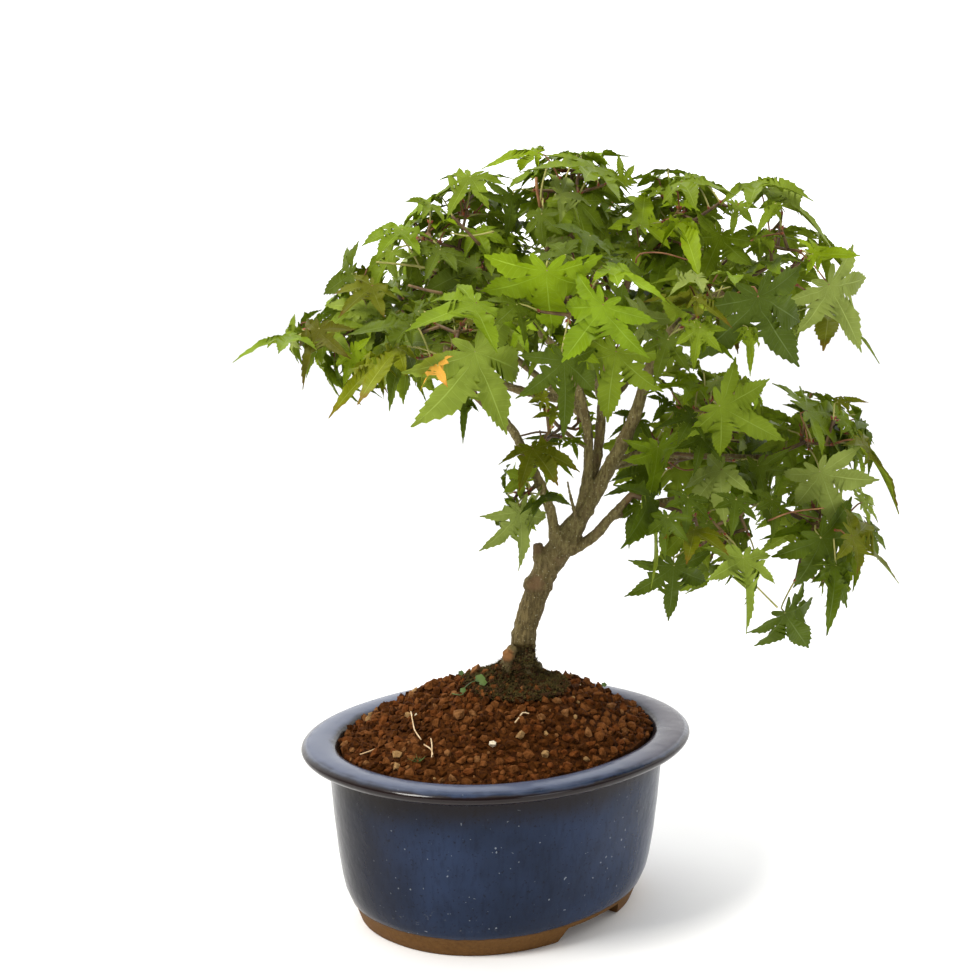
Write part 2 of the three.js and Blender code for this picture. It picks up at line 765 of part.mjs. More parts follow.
const masses = MASSES.map((mass) => {
  const bough = boughs.find((limb) => limb.name === mass.bough);
  const rootWay = bough.curve.getTangentAt(1);
  const root = bough.curve.getPointAt(1).addScaledVector(rootWay, SEAT_GAP);
  return { ...mass, centre: new THREE.Vector3(...mass.middle), root, rootWay };
});

// Assembly
const plant = new THREE.Group();
const tree = new THREE.Group();
const potGroup = new THREE.Group();
potGroup.rotation.z = POT_TURN;
plant.add(potGroup, tree);

function addMesh(group, name, solid, finish) {
  const mesh = new THREE.Mesh(geometryOf(solid), new THREE.MeshStandardMaterial(COLOURS[finish]));
  mesh.name = name;
  group.add(mesh);
}

addMesh(potGroup, "pot", makePot(), "glaze");
addMesh(potGroup, "soil", makeSoil(), "soil");
makeLimbs().forEach(({ name, solid }) => addMesh(tree, name, solid, "bark"));
masses.forEach((mass, index) => {
  const grown = growMass(mass, index);
  addMesh(tree, mass.name, massSolid(grown), "leaf");
});

// The origin is under the middle of the whole plant's box.
const box = new THREE.Box3().setFromObject(plant, true);
const centre = box.getCenter(new THREE.Vector3());
plant.position.set(-centre.x, -centre.y, 0);

export default plant;
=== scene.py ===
# A Japanese maple kept small in a glazed oval pot: its looks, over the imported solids.
# Blender works in metres. The plant's own sizes are in millimetres, measured from the middle of the
# pot at the level of its feet, and metres() brings them into the frame.
import math

import bmesh
import bpy
import numpy as np
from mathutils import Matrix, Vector, noise
from mathutils.bvhtree import BVHTree
from mathutils.kdtree import KDTree


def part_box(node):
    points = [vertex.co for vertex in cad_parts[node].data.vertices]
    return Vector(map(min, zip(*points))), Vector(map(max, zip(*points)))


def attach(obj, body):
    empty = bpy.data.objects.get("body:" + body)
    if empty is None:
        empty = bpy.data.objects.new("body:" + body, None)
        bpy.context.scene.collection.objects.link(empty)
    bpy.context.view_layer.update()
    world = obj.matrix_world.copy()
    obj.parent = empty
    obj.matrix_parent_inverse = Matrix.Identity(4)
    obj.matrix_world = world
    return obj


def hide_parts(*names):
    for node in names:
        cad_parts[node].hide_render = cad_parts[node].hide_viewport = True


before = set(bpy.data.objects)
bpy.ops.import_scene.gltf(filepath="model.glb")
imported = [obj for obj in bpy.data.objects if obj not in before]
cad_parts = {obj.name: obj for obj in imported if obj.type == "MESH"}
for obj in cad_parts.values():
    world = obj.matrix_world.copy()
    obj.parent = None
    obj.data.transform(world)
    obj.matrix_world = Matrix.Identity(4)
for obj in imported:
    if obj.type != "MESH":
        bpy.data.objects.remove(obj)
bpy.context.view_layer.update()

MM = 0.001
pot_low, pot_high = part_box("pot")
POT_MIDDLE = np.array([(pot_low.x + pot_high.x) / 2, (pot_low.y + pot_high.y) / 2, 0.0])

# Pot, as in the solids
RIM_LENGTH = 168.6
RIM_WIDTH = 143.6
POT_TURN = math.radians(48.7)
OVAL_POWER = 2.15
OVAL_SIDES = 168
FOOT_HEIGHT = 6
FOOT_GAP = 34
GLAZE_FOOT = 8.4
# Where painted shade darkens the wall towards its left end, and where the lip darkens towards its right, in
# the frame
PAINTED_SHADE_SIDE = (18 - POT_MIDDLE[0] / MM, 68 - POT_MIDDLE[0] / MM)
LIP_END = (35 + POT_MIDDLE[0] / MM, 75 + POT_MIDDLE[0] / MM)

# Soil
SOIL_EDGE_INSET = 15.8
SOIL_EDGE_HEIGHT = 71.2
SOIL_TOP = 91
BED_SKIRT = 6
BED_RINGS = 22
BARE_RADIUS = 9
TRUNK_FOOT = np.array([9.3, 12.0])
GRAIN_TRIES = 9
MOSS_START = 4
MOSS_REACH = 21
SKIRT_RISE = 9
SKIRT_BITS = 5200
CLIMB_RISE = 15
CLIMBING_BITS = 1000

# Growth, as in the solids
LIMB_MARGIN = 1.6
SEAT_GAP = 0.3
STEM_START = 3
STEM_RADIUS = 1.25
TWIG_RADIUS = 0.7
PETIOLE_RADIUS = 0.42
TWIG_STEP = 13
PETIOLE_SHARE = 0.55
SPACE_MARGIN = 1.1
STEM_MARGIN = 2
JOINT_REACH = 3.5
TRIES = 60
SHEET_GAP = 1.2
NECK_DEPTH = 1
LEAST_RISE = 0.25
TIP_DROOP = 0.2
LEAF_HUB = 0.04
GOLDEN_ANGLE = 2.39996
CROWN_HEART = np.array([34.0, 4.0, 212.0])
UP = np.array([0.0, 0.0, 1.0])

# Seeds for the front leaves' stems, the rule of the solids and the leaves that fill in
STEM_SEED = 77
MASS_SEED = 7919
FILL_SEED = 104729

# The smaller leaves that fill in afterwards: how many for each leaf, their size, and how far they may
# reach into a neighbour's space
FILL_SHARE = 2.8
FILL_SIZE = 0.74
FILL_MARGIN = -5
FILL_TRIES = 24

# A fold sharper than this is shaded as an edge
RIM_FOLD = math.radians(100)

# The photograph's camera
EYE = np.array([-3.6, -672.7, 280.8])
PITCH = math.radians(9.2)
FOCAL_PIXELS = 1700
FRAME_PIXELS = 980
SENSOR_WIDTH = 36


def metres(points):
    """Points in millimetres from the middle of the pot, as places in the frame."""
    return np.asarray(points, float) * MM + POT_MIDDLE


def unit(vector):
    """The same way, one long."""
    return vector / np.linalg.norm(vector)


def sight_way(pixel):
    """The way from the eye through a pixel of the photograph."""
    middle = FRAME_PIXELS / 2
    across = (pixel[0] - middle) / FOCAL_PIXELS
    upward = (middle - pixel[1]) / FOCAL_PIXELS
    forward = np.array([0, math.cos(PITCH), -math.sin(PITCH)])
    top = np.array([0, math.sin(PITCH), math.cos(PITCH)])
    return forward + across * np.array([1, 0, 0]) + upward * top


def pixels_of(points):
    """Where points land in the photograph, and how far in front of the eye they are."""
    offset = np.asarray(points) - EYE
    depth = offset[:, 1] * math.cos(PITCH) - offset[:, 2] * math.sin(PITCH)
    height = offset[:, 1] * math.sin(PITCH) + offset[:, 2] * math.cos(PITCH)
    middle = FRAME_PIXELS / 2
    spots = np.stack([offset[:, 0], -height], axis=1) * FOCAL_PIXELS / depth[:, None] + middle
    return spots, depth


# Camera, room and light


def set_camera():
    bpy.ops.object.camera_add(location=metres(EYE), rotation=(math.pi / 2 - PITCH, 0, 0))
    camera = bpy.context.object
    camera.data.sensor_width = SENSOR_WIDTH
    camera.data.lens = SENSOR_WIDTH * FOCAL_PIXELS / FRAME_PIXELS
    bpy.context.scene.camera = camera


def soft_light(name, place, size, power, colour):
    """A broad lamp that looks at the crown."""
    bpy.ops.object.light_add(type="AREA", location=place)
    lamp = bpy.context.object
    lamp.name = name
    lamp.data.shape = "DISK"
    lamp.data.size = size
    lamp.data.energy = power
    lamp.data.color = colour
    way = Vector((0, 0, 0.17)) - Vector(place)
    lamp.rotation_euler = way.to_track_quat("-Z", "Y").to_euler()


def set_room():
    """A white wall behind and a white ceiling, and a dim room above pale skirting on the camera's side."""
    world = bpy.data.worlds.new("room")
    world.use_nodes = True
    room = Nodes(world.node_tree)
    _, y, z = room.parts(room.node("TexCoord", result="Generated"))
    level = room.step(y + z, 0, 1.2, below=0.1, above=1.85)
    skirting = room.step(abs(z), 0.08, 0.2, below=1, above=0)
    background = world.node_tree.nodes["Background"]
    background.inputs["Color"].default_value = (1, 1, 1, 1)
    room.feed(background.inputs["Strength"], level.or_more(skirting))
    bpy.context.scene.world = world


def set_light():
    set_room()
    soft_light("window", (-0.75, -0.6, 1.15), 0.5, 18, (1, 0.98, 0.94))
    soft_light("fill", (0.9, -0.9, 0.6), 0.7, 4, (0.96, 0.98, 1))
    bpy.context.scene.view_settings.view_transform = "Standard"


# Finishes


def paint(red, green, blue):
    """A screen colour from 0 to 255 as the linear colour that shaders take."""
    def linear(value):
        share = value / 255
        return share / 12.92 if share <= 0.04045 else ((share + 0.055) / 1.055) ** 2.4

    return (linear(red), linear(green), linear(blue), 1)


class Wire:
    """One socket of a tree of nodes, which takes part in plain sums."""

    def __init__(self, nodes, socket):
        self.nodes = nodes
        self.socket = socket

    def sum(self, operation, first, second):
        return self.nodes.node("Math", {"operation": operation}, {0: first, 1: second})

    def __add__(self, other):
        return self.sum("ADD", self, other)

    def __sub__(self, other):
        return self.sum("SUBTRACT", self, other)

    def __rsub__(self, other):
        return self.sum("SUBTRACT", other, self)

    def __mul__(self, other):
        return self.sum("MULTIPLY", self, other)

    def __truediv__(self, other):
        return self.sum("DIVIDE", self, other)

    def __pow__(self, other):
        return self.sum("POWER", self, other)

    def __abs__(self):
        return self.sum("ABSOLUTE", self, 0)

    def or_more(self, other):
        return self.sum("MAXIMUM", self, other)

    __radd__ = __add__
    __rmul__ = __mul__


class Nodes:
    """A tree of nodes, whose sockets are fed with values and wires."""

    def __init__(self, tree):
        self.tree = tree

    def node(self, kind, settings=None, sockets=None, result=0):
        """A new node's result. Its settings are made first, and then its sockets are fed."""
        made = self.tree.nodes.new("ShaderNode" + kind)
        for key, value in (settings or {}).items():
            setattr(made, key, value)
        for key, value in (sockets or {}).items():
            self.feed(made.inputs[key], value)
        return Wire(self, made.outputs[result])

    def feed(self, socket, value):
        if isinstance(value, Wire):
            self.tree.links.new(value.socket, socket)
        else:
            socket.default_value = value

    def parts(self, vector):
        """The three numbers of a vector."""
        split = self.node("SeparateXYZ", None, {0: vector})
        return [Wire(self, socket) for socket in split.socket.node.outputs]

    def step(self, value, low, high, below=0, above=1):
        """One value below low and another above high, with a soft change between."""
        sockets = {"Value": value, "From Min": low, "From Max": high, "To Min": below, "To Max": above}
        return self.node("MapRange", {"interpolation_type": "SMOOTHSTEP"}, sockets)


class Finish(Nodes):
    """A finish built of nodes round one main shader."""

    def __init__(self, name, **plain):
        self.material = bpy.data.materials.new(name)
        self.material.use_nodes = True
        super().__init__(self.material.node_tree)
        self.tree.nodes.clear()
        self.skin = self.tree.nodes.new("ShaderNodeBsdfPrincipled")
        self.last = self.tree.nodes.new("ShaderNodeOutputMaterial")
        self.tree.links.new(self.skin.outputs[0], self.last.inputs[0])
        for key, value in plain.items():
            self.skin.inputs[key.replace("_", " ")].default_value = value

    def place(self):
        """Object coordinates, in metres."""
        return self.node("TexCoord", result="Object")

    def mottle(self, size, detail=3, rough=0.55, where=None):
        """Cloudy noise whose features are about so many millimetres across."""
        vector = where or self.place()
        sockets = {"Vector": vector, "Scale": 1 / (size * MM), "Detail": detail, "Roughness": rough}
        return self.node("TexNoise", None, sockets, "Fac")

    def blend(self, mask, first, second):
        """The first colour where the mask is 0 and the second where it is 1."""
        return self.node("Mix", {"data_type": "RGBA"}, {0: mask, 6: first, 7: second}, 2)

    def relief(self, height, depth, strength=1.0):
        """Bumps of so many millimetres for a height from 0 to 1."""
        sockets = {"Strength": strength, "Distance": depth * MM, "Height": height}
        self.feed(self.skin.inputs["Normal"], self.node("Bump", None, sockets))

    def wear(self, **fed):
        for key, value in fed.items():
            self.feed(self.skin.inputs[key.replace("_", " ")], value)


def glaze_finish():
    """Dark blue glaze that pales on the lip, breaks brown at its edges and stops above a clay foot."""
    finish = Finish("blue_glaze", Specular_IOR_Level=0.1, Coat_Roughness=0.1)
    turned = {"Location": POT_MIDDLE, "Rotation": (0, 0, POT_TURN)}
    centred = finish.node("Mapping", {"vector_type": "TEXTURE"}, {"Vector": finish.place(), **turned})
    x, y, z = finish.parts(centred)
    height = z / MM
    ends = abs(x / (RIM_LENGTH / 2 * MM)) ** OVAL_POWER
    sides = abs(y / (RIM_WIDTH / 2 * MM)) ** OVAL_POWER
    brim = finish.step((ends + sides) ** (1 / OVAL_POWER), *BRIM_EDGE)
    clay_line = height + (finish.mottle(6, 2) - 0.5) * 1.6
    bare = 1 - finish.step(clay_line, GLAZE_FOOT - 0.3, GLAZE_FOOT + 0.1)
    grit = finish.mottle(1.4, 4, 0.7)
    clouds = finish.mottle(34, 3)
    body = glaze_wall(finish, clouds)
    body = glaze_lip(finish, body, height, brim, clouds)
    lime = finish.step(finish.mottle(3.2, 5, 0.75), 0.62, 0.74) * (1 - finish.step(height, *LIME_BAND))
    body = finish.blend(lime * 0.45, body, paint(150, 150, 146))
    colour = finish.blend(bare, body, clay_foot(finish, clay_line, grit))
    shine = 0.16 + finish.mottle(4, 3) * 0.14
    finish.wear(Base_Color=colour, Roughness=shine + bare * 0.55, Coat_Weight=brim * 0.3 + 0.04)
    dimples = finish.mottle(11, 2) * 0.75 + finish.mottle(1.6, 2) * 0.1 + bare * grit * 0.5
    finish.relief(dimples, 0.5)
    return finish.material


# Bands of the glaze: the brim's edge as a share of the oval, the others as heights in millimetres
BRIM_EDGE = (0.966, 0.976)
LIME_BAND = (10, 26)
# Heights of the painted shadow under the lip
UNDER_LIP_SHADOW = (52, 64)
BROWN_EDGE = (71.2, 72.0)
LIP_FLAT = (72.2, 73.4)


def glaze_wall(finish, clouds):
    """Clouded blue with fine streaks, dark and pale specks, and painted shade at the left end."""
    tall = finish.node("Mapping", None, {"Vector": finish.place(), "Scale": (1, 1, 0.25)})
    streaks = finish.mottle(2.2, 4, 0.7, tall)
    body = finish.blend(finish.step(clouds, 0.3, 0.7), paint(27, 37, 57), paint(37, 50, 76))
    body = finish.blend(finish.step(streaks, 0.45, 0.75) * 0.5, body, paint(18, 25, 42))
    specks = finish.mottle(1.1, 1, 0.4)
    body = finish.blend(finish.step(specks, 0.64, 0.74) * 0.8, body, paint(22, 26, 40))
    pale = finish.mottle(1.3, 0, 0.3)
    body = finish.blend(finish.step(pale, 0.82, 0.85) * 0.6, body, paint(150, 158, 168))
    # Painted shade: the wall darkens towards its left end
    painted_side_shade = finish.step(finish.parts(finish.place())[0] / MM * -1, *PAINTED_SHADE_SIDE)
    return finish.blend(painted_side_shade * 0.95, body, paint(14, 11, 17))


def glaze_lip(finish, body, height, brim, clouds):
    """A paler top with a brown right end, a brown edge, and painted shadow in brown clouds under the lip."""
    on_top = finish.step(height + finish.mottle(9, 2) * 1.2, *LIP_FLAT)
    body = finish.blend(on_top * 0.8, body, paint(88, 96, 118))
    warm_end = finish.step(finish.parts(finish.place())[0] / MM, *LIP_END)
    body = finish.blend(on_top * warm_end * 0.6, body, paint(64, 46, 38))
    wobble = (finish.mottle(12, 3) - 0.5) * 2.4
    edge = 1 - finish.step(height + wobble, *BROWN_EDGE)
    # Painted shadow under the lip: brown clouds on the wall below it
    under = finish.step(height + (clouds - 0.5) * 16, *UNDER_LIP_SHADOW)
    body = finish.blend(under * (1 - on_top) * (1 - brim) * 0.85, body, paint(31, 24, 18))
    return finish.blend(edge * brim * 0.97, body, paint(24, 13, 10))


def clay_foot(finish, clay_line, grit):
    """Unglazed clay, burnt darker next to the glaze."""
    clay = finish.blend(grit, paint(74, 48, 22), paint(124, 88, 46))
    burnt = finish.step(clay_line, GLAZE_FOOT - 1.1, GLAZE_FOOT) * 0.6
    return finish.blend(burnt, clay, paint(52, 34, 24))


def grain_finish(name, dark, light):
    """Baked clay granules: dull, pitted and a little uneven in colour."""
    finish = Finish(name, Specular_IOR_Level=0.08)
    patches = finish.mottle(2.1, 4, 0.7)
    finish.wear(Base_Color=finish.blend(finish.step(patches, 0.3, 0.7), dark, light))
    finish.wear(Roughness=0.86 + finish.mottle(1.2, 2) * 0.12)
    finish.relief(finish.mottle(0.9, 4, 0.75), 0.5)
    return finish.material


def moss_finish():
    finish = Finish("moss", Specular_IOR_Level=0.2)
    patches = finish.mottle(3.5, 4, 0.7)
    colour = finish.blend(finish.step(patches, 0.35, 0.65), paint(66, 52, 22), paint(112, 100, 52))
    finish.wear(Base_Color=colour, Roughness=0.9 + patches * 0.1)
    finish.relief(finish.mottle(0.7, 4, 0.8), 0.8)
    return finish.material


def bark_finish():
    """Fine upright strands, paler up in the fork, with flecks, cracks, marks and a dirty foot."""
    finish = Finish("bark", Specular_IOR_Level=0.3)
    height = finish.parts(finish.place())[2] / MM
    tall = finish.node("Mapping", None, {"Vector": finish.place(), "Scale": (1, 1, 0.22)})
    strands = finish.mottle(1.1, 4, 0.65, tall)
    patches = finish.mottle(9, 4, 0.6)
    young = finish.blend(finish.step(strands, 0.32, 0.68), paint(92, 80, 46), paint(136, 124, 78))
    old = finish.blend(finish.step(strands, 0.35, 0.7), paint(78, 66, 36), paint(122, 106, 66))
    colour = finish.blend(finish.step(height, 128, 160), old, young)
    colour = finish.blend(finish.step(patches, 0.5, 0.7) * 0.5, colour, paint(112, 90, 62))
    flecks = finish.mottle(0.8, 2, 0.5)
    colour = finish.blend(finish.step(flecks, 0.64, 0.72) * 0.75, colour, paint(184, 178, 140))
    cracks = finish.mottle(1.6, 5, 0.8)
    colour = finish.blend(1 - finish.step(cracks, 0.3, 0.42), colour, paint(50, 36, 20))
    for middle, reach, tone in BARK_MARKS:
        far = finish.node("VectorMath", {"operation": "DISTANCE"}, {0: finish.place(), 1: metres(middle)}, 1)
        mark = 1 - finish.step(far / MM + (finish.mottle(2.4, 3) - 0.5) * 3, reach * 0.4, reach)
        colour = finish.blend(mark * 0.8, colour, tone)
    dirt = 1 - finish.step(height + (finish.mottle(4, 4) - 0.5) * 14, 92, 103)
    colour = finish.blend(dirt * 0.9, colour, paint(58, 50, 26))
    finish.wear(Base_Color=colour, Roughness=0.72 + cracks * 0.2)
    finish.relief(strands * 0.6 + cracks * 0.7 + flecks * 0.25, 0.6)
    return finish.material


# Coloured places on the bark: the middle, how far it reaches and its colour
BARK_MARKS = [
    ((3.0, 5.4, 102.2), 4.2, paint(140, 92, 50)),
    ((14.6, 5.0, 132.5), 5.0, paint(112, 86, 58)),
    ((15.9, 6.0, 147.5), 4.2, paint(92, 70, 46)),
]


def twig_finish(name, first, second):
    finish = Finish(name, Specular_IOR_Level=0.4)
    patches = finish.mottle(7, 3, 0.6)
    finish.wear(Base_Color=finish.blend(finish.step(patches, 0.38, 0.62), first, second))
    finish.wear(Roughness=0.45 + finish.mottle(1.5, 2) * 0.25)
    finish.relief(finish.mottle(0.6, 3, 0.7), 0.1)
    return finish.material


def leaf_finish(name, tone, lit, tip=None, shine=0.36):
    """A leaf's upper side: veins, mottling, and light that comes through from behind."""
    finish = Finish(name, Specular_IOR_Level=0.11)
    u, v, _ = finish.parts(finish.node("UVMap"))
    off_rib = abs(v - 0.5) * 2
    midrib = 1 - finish.step(off_rib, 0.015, 0.07)
    chevrons = finish.node("Math", {"operation": "FRACT"}, {0: u * 15 - off_rib * 1.2})
    side_veins = (1 - finish.step(abs(chevrons - 0.5), 0.01, 0.1)) * finish.step(off_rib, 0.05, 0.2)
    patches = finish.mottle(13, 3, 0.6)
    darker = tuple(channel * 0.84 for channel in tone[:3]) + (1,)
    paler = tuple(min(1, channel * 1.14 + 0.008) for channel in tone[:3]) + (1,)
    colour = finish.blend(finish.step(patches, 0.34, 0.66), darker, paler)
    if tip is not None:
        ends = finish.step(u + finish.mottle(5, 3) * 0.35, 0.86, 1.2)
        rim = finish.step(off_rib + finish.mottle(4, 3) * 0.5, 1.1, 1.4)
        colour = finish.blend((ends + rim * 0.5) * 0.9, colour, tip)
    vein_tone = tuple(min(1, channel * 1.5 + 0.05) for channel in tone[:3]) + (1,)
    colour = finish.blend(midrib * 0.85, colour, vein_tone)
    colour = finish.blend(side_veins * 0.26, colour, vein_tone)
    finish.wear(Base_Color=colour, Roughness=shine + finish.mottle(3, 2) * 0.16)
    finish.relief(patches * 0.6 - midrib * 0.4 - side_veins * 0.3, 0.2)
    through = finish.node("BsdfTranslucent", None, {"Color": lit})
    mixed = finish.node("MixShader", None, {0: 0.25, 1: Wire(finish, finish.skin.outputs[0]), 2: through})
    finish.feed(finish.last.inputs[0], mixed)
    return finish.material


def floor_finish():
    finish = Finish("pale_floor", Specular_IOR_Level=0.2)
    tone = finish.blend(finish.mottle(60, 3), paint(246, 245, 244), paint(252, 252, 251))
    finish.wear(Base_Color=tone, Roughness=0.7 + finish.mottle(40, 2) * 0.1)
    return finish.material


# Modelling


def at_rest():
    """Nothing is selected, in object mode."""
    if bpy.context.object and bpy.context.object.mode != "OBJECT":
        bpy.ops.object.mode_set(mode="OBJECT")
    bpy.ops.object.select_all(action="DESELECT")


def pick(obj):
    """Makes one object the only one that operators act on."""
    at_rest()
    obj.select_set(True)
    bpy.context.view_layer.objects.active = obj


def apply_modifier(obj, kind, **settings):
    pick(obj)
    bpy.ops.object.modifier_add(type=kind)
    modifier = obj.modifiers[-1]
    for key, value in settings.items():
        setattr(modifier, key, value)
    bpy.ops.object.modifier_apply(modifier=modifier.name)


def close_ends():
    """The open ends of a drawn-up ring are filled and all faces turned outwards, back in object mode."""
    bpy.ops.mesh.select_all(action="DESELECT")
    bpy.ops.mesh.select_non_manifold()
    bpy.ops.mesh.edge_face_add()
    bpy.ops.mesh.select_all(action="SELECT")
    bpy.ops.mesh.normals_make_consistent(inside=False)
    bpy.ops.object.mode_set(mode="OBJECT")


def settle(obj):
    """The object's place and turn go into its mesh."""
    pick(obj)
    bpy.ops.object.transform_apply(location=True, rotation=True, scale=True)


def hand_over(obj, slot_name, *nodes):
    """A finished piece rides on the plant and stands for its solids."""
    at_rest()
    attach(obj, "root")
    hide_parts(*nodes)


class Heap:
    """Many small shapes gathered into one mesh of triangles."""

    def __init__(self):
        self.corners = []
        self.faces = []
        self.slots = []
        self.maps = []
        self.count = 0

    def add(self, corners, faces, slot, uv=None):
        """slot is one number, or one for each face. Corners are in millimetres."""
        self.corners.append(corners)
        self.faces.append(faces + self.count)
        self.slots.append(np.broadcast_to(slot, len(faces)))
        self.maps.append(np.zeros((len(faces) * 3, 2)) if uv is None else uv)
        self.count += len(corners)

    def piece(self, name, finishes, smooth=True):
        mesh = bpy.data.meshes.new(name)
        mesh.from_pydata(metres(np.concatenate(self.corners)), [], np.concatenate(self.faces))
        for finish in finishes:
            mesh.materials.append(finish)
        mesh.polygons.foreach_set("material_index", np.concatenate(self.slots).astype(np.int32))
        mesh.polygons.foreach_set("use_smooth", np.full(len(mesh.polygons), smooth))
        mesh.uv_layers.new(name="UVMap").data.foreach_set("uv", np.concatenate(self.maps).ravel())
        mesh.validate()
        if smooth:
            sharpen_rims(mesh)
        obj = bpy.data.objects.new(name, mesh)
        bpy.context.collection.objects.link(obj)
        return obj


def sharpen_rims(mesh):
    """Edges where the skin folds back on itself, such as a leaf's rim, are shaded sharp."""
    bpy_mesh = bmesh.new()
    bpy_mesh.from_mesh(mesh)
    for edge in bpy_mesh.edges:
        edge.smooth = not (edge.is_manifold and edge.calc_face_angle() > RIM_FOLD)
    bpy_mesh.to_mesh(mesh)
    bpy_mesh.free()


def triangles_of(obj):
    """Corners, triangles and the map of a mesh object, as arrays."""
    mesh = obj.data
    corners = np.zeros(len(mesh.vertices) * 3)
    mesh.vertices.foreach_get("co", corners)
    faces = np.zeros(len(mesh.polygons) * 3, np.int32)
    mesh.polygons.foreach_get("vertices", faces)
    uv = np.zeros(len(mesh.loops) * 2)
    if mesh.uv_layers:
        mesh.uv_layers[0].data.foreach_get("uv", uv)
    return corners.reshape(-1, 3), faces.reshape(-1, 3), uv.reshape(-1, 2)


def tube(points, radii, sides):
    """Corners and triangles of a closed round tube along a line of points."""
    points = np.asarray(points, float)
    ways = np.gradient(points, axis=0)
    ways /= np.linalg.norm(ways, axis=1)[:, None]
    across = unit(np.cross(ways[0], UP + (0.31, 0.17, 0)))
    angles = np.linspace(0, 2 * math.pi, sides, endpoint=False)
    rings = []
    for centre, way, radius in zip(points, ways, radii):
        across = unit(across - way * across.dot(way))
        other = np.cross(way, across)
        rings.append(centre + radius * (np.outer(np.cos(angles), across) + np.outer(np.sin(angles), other)))
    corners = np.concatenate([*rings, points[:1], points[-1:]])
    first = np.arange(sides)
    following = (first + 1) % sides
    faces = []
    for i in range(len(points) - 1):
        low = i * sides
        high = low + sides
        faces.append(np.stack([low + first, low + following, high + following], 1))
        faces.append(np.stack([low + first, high + following, high + first], 1))
    start = len(points) * sides
    last = (len(points) - 1) * sides
    faces.append(np.stack([np.full(sides, start), following, first], 1))
    faces.append(np.stack([np.full(sides, start + 1), last + first, last + following], 1))
    return corners, np.concatenate(faces)


def smooth_line(points, step):
    """Points about so far apart on a smooth curve through the given ones."""
    points = np.asarray(points, float)
    padded = np.concatenate([[2 * points[0] - points[1]], points, [2 * points[-1] - points[-2]]])
    line = []
    for a, b, c, d in zip(padded, padded[1:], padded[2:], padded[3:]):
        count = max(1, round(float(np.linalg.norm(c - b)) / step))
        for share in np.arange(count) / count:
            t = share
            bend = 2 * b + (c - a) * t + (2 * a - 5 * b + 4 * c - d) * t**2 + (3 * b - a - 3 * c + d) * t**3
            line.append(bend / 2)
    return np.array([*line, points[-1]])


# Pot


def oval_point(angle, inset, height):
    """A point of the oval that runs inset millimetres inside the rim's."""
    c = math.cos(angle)
    s = math.sin(angle)
    x = (RIM_LENGTH / 2 - inset) * math.copysign(abs(c) ** (2 / OVAL_POWER), c)
    y = (RIM_WIDTH / 2 - inset) * math.copysign(abs(s) ** (2 / OVAL_POWER), s)
    return (x, y, height)


# The pot's outline from under its foot, up the wall, round the lip and down inside: [inset, height]
POT_PROFILE = [
    [31.5, 6], [31.5, 0.5], [31.0, 0], [23.2, 0], [22.5, 0.6], [21.6, 3], [20.4, 6.2],
    [19.4, 8.1], [18.9, 8.5], [18.0, 10.6], [16.6, 14], [15.6, 18.5], [14.8, 23.5], [14, 29],
    [13.3, 36], [12.5, 43], [11.9, 50], [11.4, 57], [11.1, 63], [10.8, 65.4], [10, 66.5],
    [8, 66.9], [5, 67.1], [2.8, 67.5], [1.2, 68.3], [0.35, 69.3], [0, 70.2], [0.2, 70.9],
    [0.9, 71.7], [2.2, 72.4], [4.4, 72.9], [7.5, 73], [10.5, 72.8], [12.6, 72.2], [14.2, 71],
    [15.1, 69.4], [15.6, 67], [16.2, 50], [18.5, 29], [27.1, 14],
]


def make_pot(finish):
    """An oval ring is drawn up along the profile, closed at both ends, and cut between its feet."""
    at_rest()
    bpy.ops.mesh.primitive_circle_add(vertices=OVAL_SIDES, radius=1, location=(0, 0, 0))
    pot = bpy.context.object
    pot.name = "glazed_pot"
    inset, height = POT_PROFILE[0]
    for vertex in pot.data.vertices:
        angle = math.atan2(vertex.co.y, vertex.co.x)
        vertex.co = Vector(oval_point(angle, inset, height)) * MM
    bpy.ops.object.mode_set(mode="EDIT")
    bpy.ops.mesh.select_all(action="SELECT")
    for (inset, height), (new_inset, new_height) in zip(POT_PROFILE, POT_PROFILE[1:]):
        rise = (0, 0, (new_height - height) * MM)
        bpy.ops.mesh.extrude_region_move(TRANSFORM_OT_translate={"value": rise})
        longer = (RIM_LENGTH / 2 - new_inset) / (RIM_LENGTH / 2 - inset)
        wider = (RIM_WIDTH / 2 - new_inset) / (RIM_WIDTH / 2 - inset)
        bpy.ops.transform.resize(value=(longer, wider, 1), center_override=(0, 0, new_height * MM))
    close_ends()
    cut_between_feet(pot)
    pot.rotation_euler.z = POT_TURN
    pot.location = POT_MIDDLE
    settle(pot)
    bpy.ops.object.shade_smooth_by_angle(angle=math.radians(38))
    pot.data.materials.append(finish)
    hand_over(pot, "glaze", "pot")


def cut_between_feet(pot):
    """One wedge along the short axis opens the foot ring on both long sides."""
    half = FOOT_GAP / 2
    at_rest()
    bpy.ops.mesh.primitive_cube_add(size=1, location=(0, 0, 0))
    wedge = bpy.context.object
    for vertex in wedge.data.vertices:
        upper = vertex.co.z > 0
        reach = half - 1 if upper else half + 3
        level = FOOT_HEIGHT - 0.05 if upper else -1
        vertex.co = Vector((math.copysign(reach, vertex.co.x), vertex.co.y * RIM_WIDTH, level)) * MM
    apply_modifier(pot, "BOOLEAN", operation="DIFFERENCE", object=wedge, solver="EXACT")
    bpy.data.objects.remove(wedge)


# Soil


def soil_height(share):
    """Height of the bed where 0 is its edge and 1 the trunk."""
    rise = math.sin(share * math.pi / 2) ** 1.1
    return SOIL_EDGE_HEIGHT + (SOIL_TOP - SOIL_EDGE_HEIGHT) * rise


